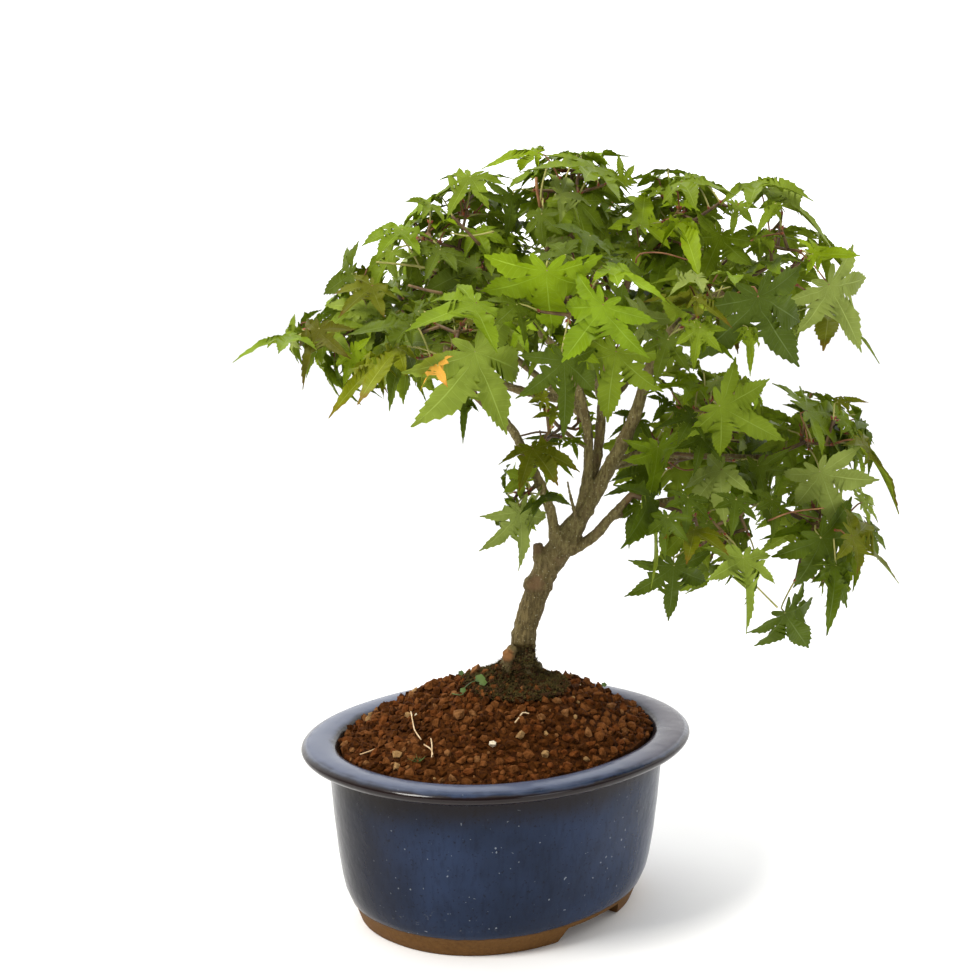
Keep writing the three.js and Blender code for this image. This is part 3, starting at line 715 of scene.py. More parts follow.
def make_bed(finish):
    """The filling: an oval drawn in towards the trunk as it rises, then roughened."""
    at_rest()
    bpy.ops.mesh.primitive_circle_add(vertices=96, radius=1, location=(0, 0, 0))
    bed = bpy.context.object
    bed.name = "soil_bed"
    turn = np.array([[math.cos(POT_TURN), -math.sin(POT_TURN)], [math.sin(POT_TURN), math.cos(POT_TURN)]])
    for vertex in bed.data.vertices:
        angle = math.atan2(vertex.co.y, vertex.co.x)
        x, y, _ = oval_point(angle, SOIL_EDGE_INSET, 0)
        vertex.co = Vector(metres([*(turn @ (x, y)), SOIL_EDGE_HEIGHT - BED_SKIRT]))
    foot = metres([*TRUNK_FOOT, 0])
    bpy.ops.object.mode_set(mode="EDIT")
    bpy.ops.mesh.select_all(action="SELECT")
    bpy.ops.mesh.extrude_region_move(TRANSFORM_OT_translate={"value": (0, 0, BED_SKIRT * MM)})
    size = 1.0
    for ring in range(BED_RINGS):
        share = (ring + 1) / BED_RINGS
        rise = (soil_height(share) - soil_height(ring / BED_RINGS)) * MM
        bpy.ops.mesh.extrude_region_move(TRANSFORM_OT_translate={"value": (0, 0, rise)})
        new_size = 1 - share * (1 - BARE_RADIUS / (RIM_LENGTH / 2 - SOIL_EDGE_INSET))
        factor = new_size / size
        bpy.ops.transform.resize(value=(factor, factor, 1), center_override=(foot[0], foot[1], 0))
        size = new_size
    close_ends()
    for vertex in bed.data.vertices:
        lumps = noise.noise(vertex.co * 70) * 1.6 + noise.noise(vertex.co * 260) * 0.6
        lumps += sum(swell(np.array(vertex.co) - POT_MIDDLE, *row) for row in BED_SWELLS)
        vertex.co.z += lumps * MM * (vertex.co.z > (SOIL_EDGE_HEIGHT - 1) * MM)
    bed.data.materials.append(finish)
    hand_over(bed, "soil", "soil")
    return bed


# Where the bed is fuller, or lower where the height is below 0: middle, height and reach
BED_SWELLS = [((-28, 12), 2.2, 18), ((46, 20), 1.0, 16), ((2, 8), 3.4, 8), ((28, 16), -1.8, 13)]


def swell(spot, middle, height, reach):
    """How much one swell lifts a spot."""
    far = math.hypot(spot[0] / MM - middle[0], spot[1] / MM - middle[1])
    return height * math.exp(-((far / reach) ** 2))


def grain_shapes():
    """A few lumps, each a small ball knocked out of round."""
    shapes = []
    for seed in range(7):
        at_rest()
        bpy.ops.mesh.primitive_ico_sphere_add(subdivisions=1, radius=1, location=(0, 0, 0))
        lump = bpy.context.object
        bpy.ops.object.mode_set(mode="EDIT")
        bpy.ops.mesh.select_all(action="SELECT")
        bpy.ops.transform.vertex_random(offset=0.34, uniform=0.4, normal=0.4, seed=seed + 3)
        bpy.ops.object.mode_set(mode="OBJECT")
        shapes.append(triangles_of(lump)[:2])
        bpy.data.objects.remove(lump)
    return shapes


def on_bed(surface, x, y):
    """The bed's height under a place, or None outside it, in millimetres."""
    start = Vector(metres([x, y, 130]))
    hit = surface.ray_cast(start, Vector((0, 0, -1)))[0]
    return None if hit is None else hit.z / MM


def spot_on_bed(surface, pixel):
    """The place on the bed that a pixel of the photograph shows, or under it on the mound's crest."""
    way = sight_way(pixel)
    hit = surface.ray_cast(Vector(metres(EYE)), Vector(way))[0]
    if hit is not None:
        return (np.array(hit) - POT_MIDDLE) / MM
    x, y, _ = EYE + way * (TRUNK_FOOT[1] - EYE[1]) / way[1]
    return np.array([x, y, on_bed(surface, x, y)])


def turn_matrix(rng):
    """A random turn."""
    return np.linalg.qr(rng.normal(size=(3, 3)))[0]


def right_handed(matrix):
    return matrix if np.linalg.det(matrix) > 0 else -matrix


# Grains by size: how many, least and greatest radius, and how close they pack
GRAIN_SIZES = [
    (700, 1.8, 2.6, 0.84),
    (1500, 1.1, 1.8, 0.82),
    (2100, 0.5, 1.1, 0.8),
]
# How often each of the grains' finishes is drawn
GRAIN_CHANCES = [0.37, 0.29, 0.27, 0.052, 0.016, 0.002]
# Stones that the photograph shows singly: pixel, radius and finish
LONE_STONES = [
    ((476, 673), 3.4, 3),
    ((493, 746), 1.7, 5),
    ((521, 738), 2.2, 4),
    ((545, 757), 2.2, 4),
    ((365, 717), 1.9, 3),
    ((397, 769), 1.8, 4),
    ((430, 690), 2.3, 1),
    ((458, 718), 2.8, 3),
    ((600, 740), 2.4, 1),
]


def make_grains(surface, finishes):
    """Granules packed over the bed, and a few odd stones."""
    rng = np.random.default_rng(41)
    shapes = grain_shapes()
    heap = Heap()
    taken = []
    for pixel, radius, slot in LONE_STONES:
        x, y, z = spot_on_bed(surface, pixel)
        taken.append((x, y, radius))
        drop_grain(heap, rng, shapes, (x, y, z + radius * 0.55), radius, slot)
    for count, least, most, packing in GRAIN_SIZES:
        for _ in range(count):
            place_grain(heap, rng, shapes, surface, taken, rng.uniform(least, most), packing)
    grains = heap.piece("soil_grains", finishes, smooth=False)
    hand_over(grains, "soil", "soil")


def place_grain(heap, rng, shapes, surface, taken, radius, packing):
    """Tries a few places for a grain, each clear of the grains already there."""
    reach = RIM_LENGTH / 2
    for _ in range(GRAIN_TRIES):
        x, y = rng.uniform(-reach, reach, 2)
        z = on_bed(surface, x, y)
        if z is None or math.hypot(x - TRUNK_FOOT[0], y - TRUNK_FOOT[1]) < BARE_RADIUS:
            continue
        others = np.array(taken)
        gaps = np.hypot(others[:, 0] - x, others[:, 1] - y) - (others[:, 2] + radius) * packing
        if gaps.min() < 0:
            continue
        taken.append((x, y, radius))
        slot = rng.choice(len(GRAIN_CHANCES), p=GRAIN_CHANCES)
        drop_grain(heap, rng, shapes, (x, y, z + radius * 0.2), radius, slot)
        return


def drop_grain(heap, rng, shapes, place, radius, slot):
    corners, faces = shapes[rng.integers(len(shapes))]
    lump = corners * (radius, radius * rng.uniform(0.75, 1.1), radius * rng.uniform(0.65, 1))
    heap.add(lump @ right_handed(turn_matrix(rng)) + place, faces, slot)


def make_moss(surface, finishes):
    """A dark skirt of moss and crumbs round the trunk's foot, and moss that climbs the trunk."""
    rng = np.random.default_rng(12)
    heap = Heap()
    shapes = grain_shapes()
    for _ in range(SKIRT_BITS):
        spot = skirt_spot(surface, rng)
        if rng.uniform() < 0.4:
            radius = rng.uniform(0.5, 1.2)
            drop_grain(heap, rng, shapes, spot, radius, 0 if rng.uniform() < 0.85 else 1)
        else:
            tuft(heap, rng, spot)
    for _ in range(CLIMBING_BITS):
        spot = climbing_spot(rng)
        if rng.uniform() < 0.35:
            drop_grain(heap, rng, shapes, spot, rng.uniform(0.35, 0.8), 0)
        else:
            tuft(heap, rng, spot)
    moss = heap.piece("moss_skirt", finishes)
    hand_over(moss, "soil", "soil")


def skirt_spot(surface, rng):
    """A place in the skirt, which is broad in front and on the left, and low on the right."""
    angle = rng.uniform(0, 2 * math.pi)
    rightward = max(0, math.cos(angle))
    out = MOSS_START + (MOSS_REACH - MOSS_START) * rng.uniform() ** 1.2
    out *= 1.15 - 0.35 * math.sin(angle) - 0.3 * rightward
    x, y = TRUNK_FOOT + (out * math.cos(angle), out * math.sin(angle))
    rise = SKIRT_RISE * (1 - 0.85 * rightward)
    reach = 4.4 + 4 * max(0, -math.cos(angle)) + 2 * max(0, -math.sin(angle))
    skirt = SOIL_TOP + rise * math.exp(-(((out - 3.5) / reach) ** 2))
    z = max(on_bed(surface, x, y), skirt - 1.5) + rng.uniform(-0.2, 1.7)
    return np.array([x, y, z])


def climbing_spot(rng):
    """A place on the trunk's near side, seldom high up."""
    height = CLIMB_RISE * rng.uniform() ** 2.4
    angle = rng.uniform(1.2, 1.95) * math.pi
    out = max(5.2, 9.6 - 0.45 * height) + rng.uniform(-0.5, 0.5)
    x, y = TRUNK_FOOT + (out * math.cos(angle), out * math.sin(angle))
    return np.array([x, y, SOIL_TOP + height])


def tuft(heap, rng, root):
    """A few short blades of moss."""
    for _ in range(4):
        way = unit(rng.normal(size=3) * (1, 1, 0.5) + (0, 0, 0.9))
        blade(heap, root, way, rng.uniform(1.2, 2.6), 0.22, 2)


def blade(heap, root, way, length, width, slot):
    """A thin three-sided spike."""
    side = unit(np.cross(way, (0.3, 0.9, 0.4)))
    other = np.cross(way, side)
    behind = root - side * width * 0.5
    base = [root + side * width, behind + other * width, behind - other * width]
    corners = np.array([*base, root + way * length])
    heap.add(corners, np.array([[0, 1, 3], [1, 2, 3], [2, 0, 3], [0, 2, 1]]), slot)


# Pale rootlets and straws on the soil, as pixels of the photograph from end to end
ROOTLETS = [
    ((411, 717), (413, 728), (415, 736), (421, 745)),
    ((515, 728), (519, 723), (523, 718), (529, 719)),
    ((431, 744), (432, 752), (432, 763)),
    ((424, 750), (431, 755), (433, 762)),
    ((360, 760), (369, 757), (376, 754)),
    ((580, 678), (581, 674), (580, 668)),
]


def make_litter(surface, finishes):
    """Rootlets, a rosette of fine leaves and a little creeping weed."""
    heap = Heap()
    for route in ROOTLETS:
        points = [spot_on_bed(surface, pixel) + (0, 0, 2.2) for pixel in route]
        line = smooth_line(points, 1)
        heap.add(*tube(line, np.full(len(line), 0.28), 5), 0)
    rosette(heap, spot_on_bed(surface, (418, 767)) + (0, 0, 1.5))
    creeper(heap, surface)
    litter = heap.piece("litter", finishes)
    hand_over(litter, "soil", "soil")


def rosette(heap, root):
    """Fine leaves that stand out from one root."""
    rng = np.random.default_rng(5)
    for index in range(12):
        angle = index * 2.4
        way = unit(np.array([math.cos(angle), math.sin(angle), 0.5 + 0.6 * rng.uniform()]))
        blade(heap, root, way, rng.uniform(3, 5), 0.3, 1)


# The creeping weed's stem, and its round leaves as pixel and radius
CREEPER_STEM = ((452, 700), (462, 701), (465, 694), (473, 688), (481, 687))
CREEPER_LEAVES = [
    ((480, 686), 2.3),
    ((483, 690), 1.8),
    ((463, 698), 1.4),
    ((461, 677), 1.4),
    ((604, 692), 1.3),
]


def creeper(heap, surface):
    """The weed's stem, a little above the grains, and its leaves above that."""
    line = smooth_line([spot_on_bed(surface, pixel) + (0, 0, 2.6) for pixel in CREEPER_STEM], 1)
    heap.add(*tube(line, np.full(len(line), 0.24), 5), 1)
    for pixel, radius in CREEPER_LEAVES:
        centre = spot_on_bed(surface, pixel) + (0, 0, 3.2)
        round_leaf(heap, centre, radius)


def round_leaf(heap, centre, radius):
    """A small notched disc, thicker in the middle, tilted towards the eye."""
    sides = 14
    angles = np.linspace(0, 2 * math.pi, sides, endpoint=False)
    wide = radius * (0.88 + 0.12 * np.cos(angles * 5))
    right = np.array([1, 0, 0])
    back = unit(np.array([0, 0.75, 0.65]))
    rim = centre + np.outer(np.cos(angles) * wide, right) + np.outer(np.sin(angles) * wide, back)
    lift = unit(np.cross(right, back)) * 0.25
    corners = np.concatenate([rim, [centre + lift, centre - lift]])
    first = np.arange(sides)
    following = (first + 1) % sides
    top = np.stack([np.full(sides, sides), first, following], 1)
    bottom = np.stack([np.full(sides, sides + 1), following, first], 1)
    heap.add(corners, np.concatenate([top, bottom]), 1)


# Limbs, within 3 mm of the solids: centre lines in millimetres and radii from root to tip


class Limb:
    """A smooth line through points, measured along its length."""

    def __init__(self, name, points, radii):
        self.name = name
        self.points = np.array(points, float)
        self.radii = radii
        self.times = np.linspace(0, 1, 201)
        spots = np.array([self.at_time(time) for time in self.times])
        runs = np.linalg.norm(np.diff(spots, axis=0), axis=1)
        self.lengths = np.concatenate([[0], np.cumsum(runs)])
        self.length = self.lengths[-1]

    def at_time(self, time):
        last = len(self.points) - 1
        index = min(int(last * time), last - 1)
        t = last * time - index
        b, c = self.points[index], self.points[index + 1]
        a = self.points[index - 1] if index > 0 else 2 * b - c
        d = self.points[index + 2] if index + 2 <= last else 2 * c - b
        ab, bc, cd = (np.sqrt(np.linalg.norm(q - p)) for p, q in ((a, b), (b, c), (c, d)))
        start = ((b - a) / ab - (c - a) / (ab + bc) + (c - b) / bc) * bc
        end = ((c - b) / bc - (d - b) / (bc + cd) + (d - c) / cd) * bc
        cubic = 2 * b - 2 * c + start + end
        square = -3 * b + 3 * c - 2 * start - end
        return b + start * t + square * t**2 + cubic * t**3

    def at(self, share):
        return self.at_time(np.interp(share * self.length, self.lengths, self.times))

    def tip_way(self):
        return unit(self.at_time(1) - self.at_time(0.9999))

    def radius(self, share):
        return float(np.interp(share, np.linspace(0, 1, len(self.radii)), self.radii))


TRUNK = Limb(
    "trunk",
    [(9.3, 12, 92.8), (9.7, 12, 102), (11.2, 12, 113), (14.2, 12, 123), (17.2, 11, 132), (20.8, 10, 140),
     (26, 9, 148), (33.5, 8, 160)],
    [7.4, 5.0, 4.8, 4.9, 5.2, 5.5, 5.4, 3.6],
)
STUB = Limb("stub", [(22.5, 9.5, 140), (17.0, 8.5, 142.5), (15.8, 8, 148.4)], [4.4, 1.8])
BOUGHS = [
    Limb("left_bough", [(23.4, 9, 147), (20.7, 6, 163), (10.9, -4, 186), (4, -12, 199), (-7, -22, 210)],
         [2.3, 1.5]),
    Limb("centre_left_bough",
         [(32, 8, 158), (36, 8, 178), (35.5, 7, 196), (30, 6, 218), (22, 7, 240), (18, 8, 258)], [2.2, 1.5]),
    Limb("centre_bough", [(32.5, 8.5, 158), (40, 12, 184), (42, 15, 206), (44.5, 16, 232), (51, 13, 252)],
         [2.3, 1.5]),
    Limb("right_bough",
         [(33, 8, 158.5), (44.5, 6, 180), (53.5, 1, 200), (62, -3, 227), (76, 1, 243), (88, 4, 250)],
         [3.3, 1.5]),
    Limb("low_right_bough", [(29, 9, 145), (38, 4, 152), (45, -1, 161), (51, -6, 169)], [2.4, 1.6]),
    Limb("left_arm",
         [(32.9, 6.5, 206.5), (21.8, 0, 209), (4, -6, 214), (-12, -3, 223), (-29, 3, 233)], [1.9, 1.3]),
    Limb("upper_left_bough", [(28.5, 6, 222), (16, 10, 235), (0, 13, 250)], [1.7, 1.2]),
    Limb("back_left_bough", [(35, 7, 200), (20, 20, 212), (2, 36, 226)], [1.8, 1.2]),
    Limb("front_bough", [(42, 15, 206), (38, 1, 216), (31, -16, 228)], [1.8, 1.2]),
    Limb("back_top_bough", [(45, 16, 234), (45, 28, 248)], [1.5, 1.1]),
    Limb("back_right_bough", [(42, 15, 202), (54, 28, 214), (64, 38, 226)], [1.8, 1.2]),
    Limb("right_front_bough", [(61, -3, 227), (66, -14, 236), (70, -24, 242)], [1.7, 1.2]),
    Limb("low_upper_bough", [(43, 6, 180), (56, 6, 186), (68, 3, 191)], [1.7, 1.2]),
    Limb("low_outer_bough", [(56, 6, 186), (80, 12, 184), (106, 8, 184)], [1.4, 1.1]),
    Limb("low_tip_bough", [(45, -1, 161), (62, 3, 166), (90, 4, 168), (112, 0, 164)], [1.6, 1.1]),
    Limb("low_back_bough", [(43, 6, 180), (60, 20, 181), (74, 30, 180)], [1.6, 1.2]),
    Limb("left_spur", [(17, 1, 175), (14.5, -3, 174), (13, -5, 173)], [1.1, 0.9]),
    Limb("inner_spur", [(36, 8, 188), (30, 15, 191), (26, 19, 194)], [1.1, 0.9]),
]
# The dead twig that stands up inside the fork
DEAD_TWIG = Limb("dead_twig", [(31.5, 4, 159), (29.5, 3, 166), (27.5, 2.5, 175)], [0.9, 0.5])
LIMBS = [TRUNK, STUB, *BOUGHS, DEAD_TWIG]
LIMB_STEP = 1.2
LIMB_SIDES = 16
# The grid on which the limbs melt into one skin
VOXEL = 0.43
# Old bud rings: how far apart they are, where the first is, how long they are, and their share of the
# limb's radius
RING_STEP = 11.5
RING_START = 5
RING_LENGTH = 0.9
RING_RISE = 0.13


def limb_tube(limb):
    """A limb with a slight swelling at each old bud ring."""
    count = max(4, round(limb.length / LIMB_STEP))
    shares = np.linspace(0, 1, count + 1)
    points = [limb.at(share) for share in shares]
    radii = []
    for share in shares:
        ring = math.exp(-(((share * limb.length) % RING_STEP - RING_START) / RING_LENGTH) ** 2)
        radii.append(limb.radius(share) * (1 + RING_RISE * ring))
    if limb is TRUNK:
        points[0] = points[0] - (0.6, 0, 4)
        radii[0] *= 1.25
    return tube(points, radii, LIMB_SIDES)


def make_bark(finish):
    """Every limb as a tube, melted into one skin, then given the bark's relief."""
    heap = Heap()
    for limb in LIMBS:
        heap.add(*limb_tube(limb), 0)
    for middle, size in BURLS:
        heap.add(*ball(middle, size), 0)
    bark = heap.piece("bark", [finish])
    apply_modifier(bark, "REMESH", mode="VOXEL", voxel_size=VOXEL * MM)
    apply_modifier(bark, "SMOOTH", factor=0.6, iterations=4)
    roughen_bark(bark)
    bark.data.polygons.foreach_set("use_smooth", np.ones(len(bark.data.polygons), bool))
    hand_over(bark, "bark", "trunk", *[limb.name for limb in BOUGHS])


# Swellings on the trunk: middle and half widths
BURLS = [
    ((4.3, 7.9, 101.2), (2.9, 2.9, 3.3)),
    ((5.6, 7.0, 104.2), (2.0, 2.0, 2.2)),
    ((4.9, 8.6, 98.3), (3.3, 3.3, 3.3)),
    ((13.6, 9.0, 131.0), (3.6, 3.6, 3.2)),
    ((21.5, 8.5, 141.5), (4.6, 4.2, 3.6)),
    ((4.5, 9.0, 95.5), (4.6, 4.6, 4.2)),
    ((14.2, 12.0, 94.0), (4.2, 4.8, 4.0)),
    ((9.5, 17.0, 94.5), (4.8, 4.2, 3.6)),
    ((10.5, 7.0, 94.0), (4.6, 3.8, 3.6)),
]


def ball(middle, size):
    """Corners and triangles of a stretched ball."""
    at_rest()
    bpy.ops.mesh.primitive_ico_sphere_add(subdivisions=3, radius=1, location=(0, 0, 0))
    made = bpy.context.object
    corners, faces, _ = triangles_of(made)
    bpy.data.objects.remove(made)
    return corners * size + middle, faces


def roughen_bark(bark):
    """Long ridges that follow each limb, and lumps across them."""
    tree, samples = limb_samples()
    mesh = bark.data
    normals = [vertex.normal.copy() for vertex in mesh.vertices]
    for vertex, normal in zip(mesh.vertices, normals):
        spot = Vector((np.array(vertex.co) - POT_MIDDLE) / MM)
        _, index, _ = tree.find(spot)
        centre, across, other, run, radius = samples[index]
        offset = spot - centre
        around = math.atan2(offset.dot(other), offset.dot(across))
        ring = Vector((math.cos(around), math.sin(around), 0)) * radius * 1.1
        ridge = noise.noise(ring + Vector((0, 0, run * 0.22)))
        lump = noise.noise(spot * 0.32)
        pits = noise.noise(spot * 1.3)
        fine = noise.noise(spot * 2.6)
        height = ridge * 0.22 * radius**0.5 + lump * 0.15 * radius + pits * 0.2 + fine * 0.12
        vertex.co += normal * (height * 0.8 * MM)


def limb_samples():
    """Centre, frame, distance along and radius at each millimetre of every limb, in a search tree."""
    samples = []
    for number, limb in enumerate(LIMBS):
        count = round(limb.length)
        points = [Vector(limb.at(i / count)) for i in range(count + 1)]
        for i, centre in enumerate(points):
            way = (points[min(i + 1, count)] - points[max(i - 1, 0)]).normalized()
            across = way.cross(Vector((0.2, 1, 0.1))).normalized()
            samples.append((centre, across, way.cross(across), number * 60 + i, limb.radius(i / count)))
    tree = KDTree(len(samples))
    for index, sample in enumerate(samples):
        tree.insert(sample[0], index)
    tree.balance()
    return tree, samples


# Growth of the foliage, by the rule of the solids


class Mass:
    """A mass of foliage: its bough, its space, and the leaves that it asks for."""

    def __init__(self, name, bough, middle, reach, leaves, lobe):
        self.name = name
        self.centre = np.array(middle, float)
        self.reach = np.array(reach, float)
        self.size = float(np.cbrt(self.reach.prod()))
        self.leaves = leaves
        self.lobe = lobe
        limb = next(limb for limb in BOUGHS if limb.name == bough)
        self.root_way = limb.tip_way()
        self.root = limb.at(1) + self.root_way * SEAT_GAP
        self.root_radius = limb.radii[-1]


MASSES = [
    Mass("left_foliage", "left_arm", (-63, -2, 239), (31, 28, 20), 23, 24),
    Mass("front_left_foliage", "left_bough", (-22, -46, 238), (32, 24, 19), 18, 29),
    Mass("upper_left_foliage", "upper_left_bough", (-14, 6, 274), (31, 26, 21), 24, 23),
    Mass("top_foliage", "centre_left_bough", (26, 2, 288), (28, 26, 20), 24, 23),
    Mass("front_foliage", "front_bough", (26, -46, 251), (28, 24, 26), 18, 29),
    Mass("upper_right_foliage", "centre_bough", (74, 2, 281), (30, 26, 21), 24, 25),
    Mass("right_foliage", "right_bough", (115, 0, 266), (27, 26, 25), 22, 26),
    Mass("right_front_foliage", "right_front_bough", (78, -46, 249), (28, 24, 24), 18, 29),
    Mass("back_left_foliage", "back_left_bough", (-20, 58, 245), (36, 26, 26), 16, 28),
    Mass("back_top_foliage", "back_top_bough", (40, 50, 270), (28, 22, 20), 14, 28),
    Mass("back_right_foliage", "back_right_bough", (92, 54, 248), (36, 26, 26), 16, 29),
    Mass("low_upper_foliage", "low_upper_bough", (90, -12, 209), (30, 28, 18), 20, 26),
    Mass("low_outer_foliage", "low_outer_bough", (130, 3, 194), (24, 26, 20), 18, 25),
    Mass("low_tip_foliage", "low_tip_bough", (132, -4, 155), (23, 22, 20), 16, 27),
    Mass("low_inner_foliage", "low_right_bough", (82, -18, 162), (28, 24, 24), 18, 27),
    Mass("low_back_foliage", "low_back_bough", (96, 44, 182), (36, 24, 24), 14, 29),
    Mass("left_spur_foliage", "left_spur", (12, -9, 172), (8, 9, 12), 7, 17),
    Mass("inner_spur_foliage", "inner_spur", (20, 26, 200), (12, 12, 12), 7, 14),
]
CENTRES = np.array([mass.centre for mass in MASSES])
REACHES = np.array([mass.reach for mass in MASSES])
SIZES = np.array([mass.size for mass in MASSES])

# A leaf's outline, as degrees from its middle lobe and share of that lobe's length
OUTLINE = np.array([
    (0, 1), (20, 0.43), (41, 0.92), (62, 0.4), (84, 0.7), (180, 0.09),
    (-84, 0.7), (-62, 0.4), (-41, 0.92), (-20, 0.43),
])
WORD = 0xFFFFFFFF


def number_source(seed):
    """A small repeatable source of numbers from 0 to 1."""
    state = seed & WORD

    def draw():
        nonlocal state
        state = (state + 0x6D2B79F5) & WORD
        t = state
        t = ((t ^ (t >> 15)) * (t | 1)) & WORD
        t = t ^ ((t + (((t ^ (t >> 7)) * (t | 61)) & WORD)) & WORD)
        return ((t ^ (t >> 14)) & WORD) / 4294967296

    return draw


def jitter(draw, size):
    return (np.array([draw(), draw(), draw()]) - 0.5) * 2 * size


def leaf_points(leaf, outline, lift=0.0):
    """Places on a leaf's sheet, given as degrees and shares."""
    angles = np.radians(outline[:, 0])
    share = outline[:, 1]
    side = np.cross(leaf["face"], leaf["along"])
    flat = np.outer(np.cos(angles) * share, leaf["along"]) + np.outer(np.sin(angles) * share, side)
    raised = np.outer(lift - TIP_DROOP * share**2 * leaf["lobe"], leaf["face"])
    return leaf["base"] + flat * leaf["lobe"] + raised


def leaf_place_outline():
    """The outline with the middles of its lobes added."""
    rows = []
    for degrees, share in OUTLINE:
        shares = [share * 0.3, share * 0.55, share * 0.8, share] if share > 0.5 else [share]
        rows += [(degrees, part) for part in shares]
    return np.array(rows)


PLACES = leaf_place_outline()
HUB = np.array([(0, LEAF_HUB)])
BEADS = []
for limb in [TRUNK, *BOUGHS]:
    bead_count = round(limb.length / 3)
    BEADS += [(*limb.at(i / bead_count), limb.radius(i / bead_count)) for i in range(bead_count + 1)]
BEADS = np.array(BEADS)


def in_own_space(mass, points, margin):
    offsets = (points[:, None, :] - CENTRES) / REACHES
    outside = (np.linalg.norm(offsets, axis=2) - 1) * SIZES
    own = MASSES.index(mass)
    others = np.delete(outside, own, axis=1).min(axis=1)
    return bool((outside[:, own] + margin < others).all())


def clear_of_limbs(points):
    gaps = np.linalg.norm(points[:, None, :] - BEADS[:, :3], axis=2) - BEADS[:, 3]
    return bool(gaps.min() > LIMB_MARGIN)


def sheet_of(leaf):
    """A leaf's sheet as triangles, and its edges and ribs as lines just above and below it."""
    hub = leaf_points(leaf, HUB)[0]
    rim = leaf_points(leaf, OUTLINE)
    following = np.roll(rim, -1, axis=0)
    hubs = np.broadcast_to(hub, rim.shape)
    lines = np.concatenate([np.stack([hubs, rim], 1), np.stack([rim, following], 1)])
    lift = leaf["face"] * SHEET_GAP
    return {
        "triangles": np.stack([hubs, rim, following], 1),
        "lines": np.concatenate([lines + lift, lines - lift]),
        "hub": hub,
        "size": leaf["lobe"] * 1.05,
    }


def lines_meet(lines, triangles):
    """Whether any line passes through any triangle."""
    if len(lines) == 0 or len(triangles) == 0:
        return False
    way = (lines[:, 1] - lines[:, 0])[:, None, :]
    edge = (triangles[:, 1] - triangles[:, 0])[None]
    rim = (triangles[:, 2] - triangles[:, 0])[None]
    cross = np.cross(way, rim)
    scale = (edge * cross).sum(2)
    scale = np.where(np.abs(scale) < 1e-9, np.inf, scale)
    start = lines[:, 0][:, None, :] - triangles[:, 0][None]
    first = (start * cross).sum(2) / scale
    turned = np.cross(start, edge)
    second = (way * turned).sum(2) / scale
    reach = (rim * turned).sum(2) / scale
    inside = (first >= 0) & (second >= 0) & (first + second <= 1)
    return bool((inside & (reach >= 0) & (reach < 1)).any())


def stem_lines(stem):
    return np.stack([stem["points"][:-1], stem["points"][1:]], 1)


def beads_of(stem):
    """Points about 2 mm apart along a stem."""
    rows = []
    for start, end in stem_lines(stem):
        count = max(1, math.ceil(np.linalg.norm(end - start) / 2))
        rows += [start + (end - start) * i / count for i in range(count + 1)]
    return np.array(rows)


def stems_touch(stem, stems):
    own = beads_of(stem)
    own = own[np.linalg.norm(own - stem["points"][0], axis=1) > JOINT_REACH]
    if len(own) == 0:
        return False
    theirs = np.concatenate([old["beads"] for old in stems])
    gaps = np.linalg.norm(own[:, None, :] - theirs, axis=2)
    return bool(gaps.min() < STEM_MARGIN)


def crosses(sheet, stem, leaves, stems, neighbours=()):
    """Whether a new leaf and its stem pass through leaves and stems that are already there."""
    everyone = [*leaves, *neighbours]
    if everyone:
        hubs = np.array([other["sheet"]["hub"] for other in everyone])
        sizes = np.array([other["sheet"]["size"] for other in everyone])
        near = np.flatnonzero(np.linalg.norm(hubs - sheet["hub"], axis=1) < sizes + sheet["size"])
        if len(near):
            triangles = np.concatenate([everyone[i]["sheet"]["triangles"] for i in near])
            lines = np.concatenate([everyone[i]["sheet"]["lines"] for i in near])
            if lines_meet(sheet["lines"], triangles) or lines_meet(lines, sheet["triangles"]):
                return True
            if lines_meet(stem_lines(stem), triangles):
                return True
    old_lines = np.concatenate([stem_lines(old) for old in stems])
    return lines_meet(old_lines, sheet["triangles"]) or stems_touch(stem, stems)


def leaf_at(mass, draw, base, lobe, stalk_way):
    """A leaf faces outwards and up, and its middle lobe carries on the way its stalk comes."""
    out = unit(base - mass.centre) * 0.5 + unit(base - CROWN_HEART) * 0.8
    face = unit(out + UP * 0.55 + jitter(draw, 0.5))
    along = out * 0.4 + stalk_way * 0.9 - UP * 0.55
    along = along + jitter(draw, 0.4)
    rise = face.dot(stalk_way)
    if rise < LEAST_RISE:
        face = unit(face + stalk_way * (LEAST_RISE - rise))
    along = unit(along - face * along.dot(face))
    return {"base": base, "face": face, "along": along, "lobe": lobe}


def spread_place(mass, k, n, draw):
    """The place of leaf k of n, spread by the golden angle over the mass's space."""
    height = 1 - (2 * (k + 0.5)) / n
    angle = k * GOLDEN_ANGLE + draw() * 0.8
    flat = math.sqrt(1 - height * height)
    depth = 0.6 + 0.4 * math.sqrt(draw())
    return np.array([math.cos(angle) * flat, math.sin(angle) * flat, height]) * depth * mass.reach


def joints_on(points):
    """Places where side stems may start."""
    rows = []
    for start, end in zip(points, points[1:]):
        rows += [start + (end - start) * share for share in (0.2, 0.5, 0.8)]
    return rows


def with_beads(points, radii, twig_points):
    """A stem, with its beads worked out once. twig_points of its points are on the twig."""
    stem = {"points": np.array(points), "radii": radii, "twig": twig_points}
    stem["beads"] = beads_of(stem)
    return stem


def main_stem(mass):
    """The stem that carries on from a bough's tip, first straight and then towards the middle."""
    bend = mass.root + mass.root_way * STEM_START
    heart = bend + (mass.centre - bend) * 0.75
    count = max(1, round(float(np.linalg.norm(heart - bend)) / 9))
    points = [mass.root, *[bend + (heart - bend) * i / count for i in range(count + 1)]]
    radii = np.linspace(STEM_RADIUS, TWIG_RADIUS, len(points))
    return with_beads(points, radii, len(points))


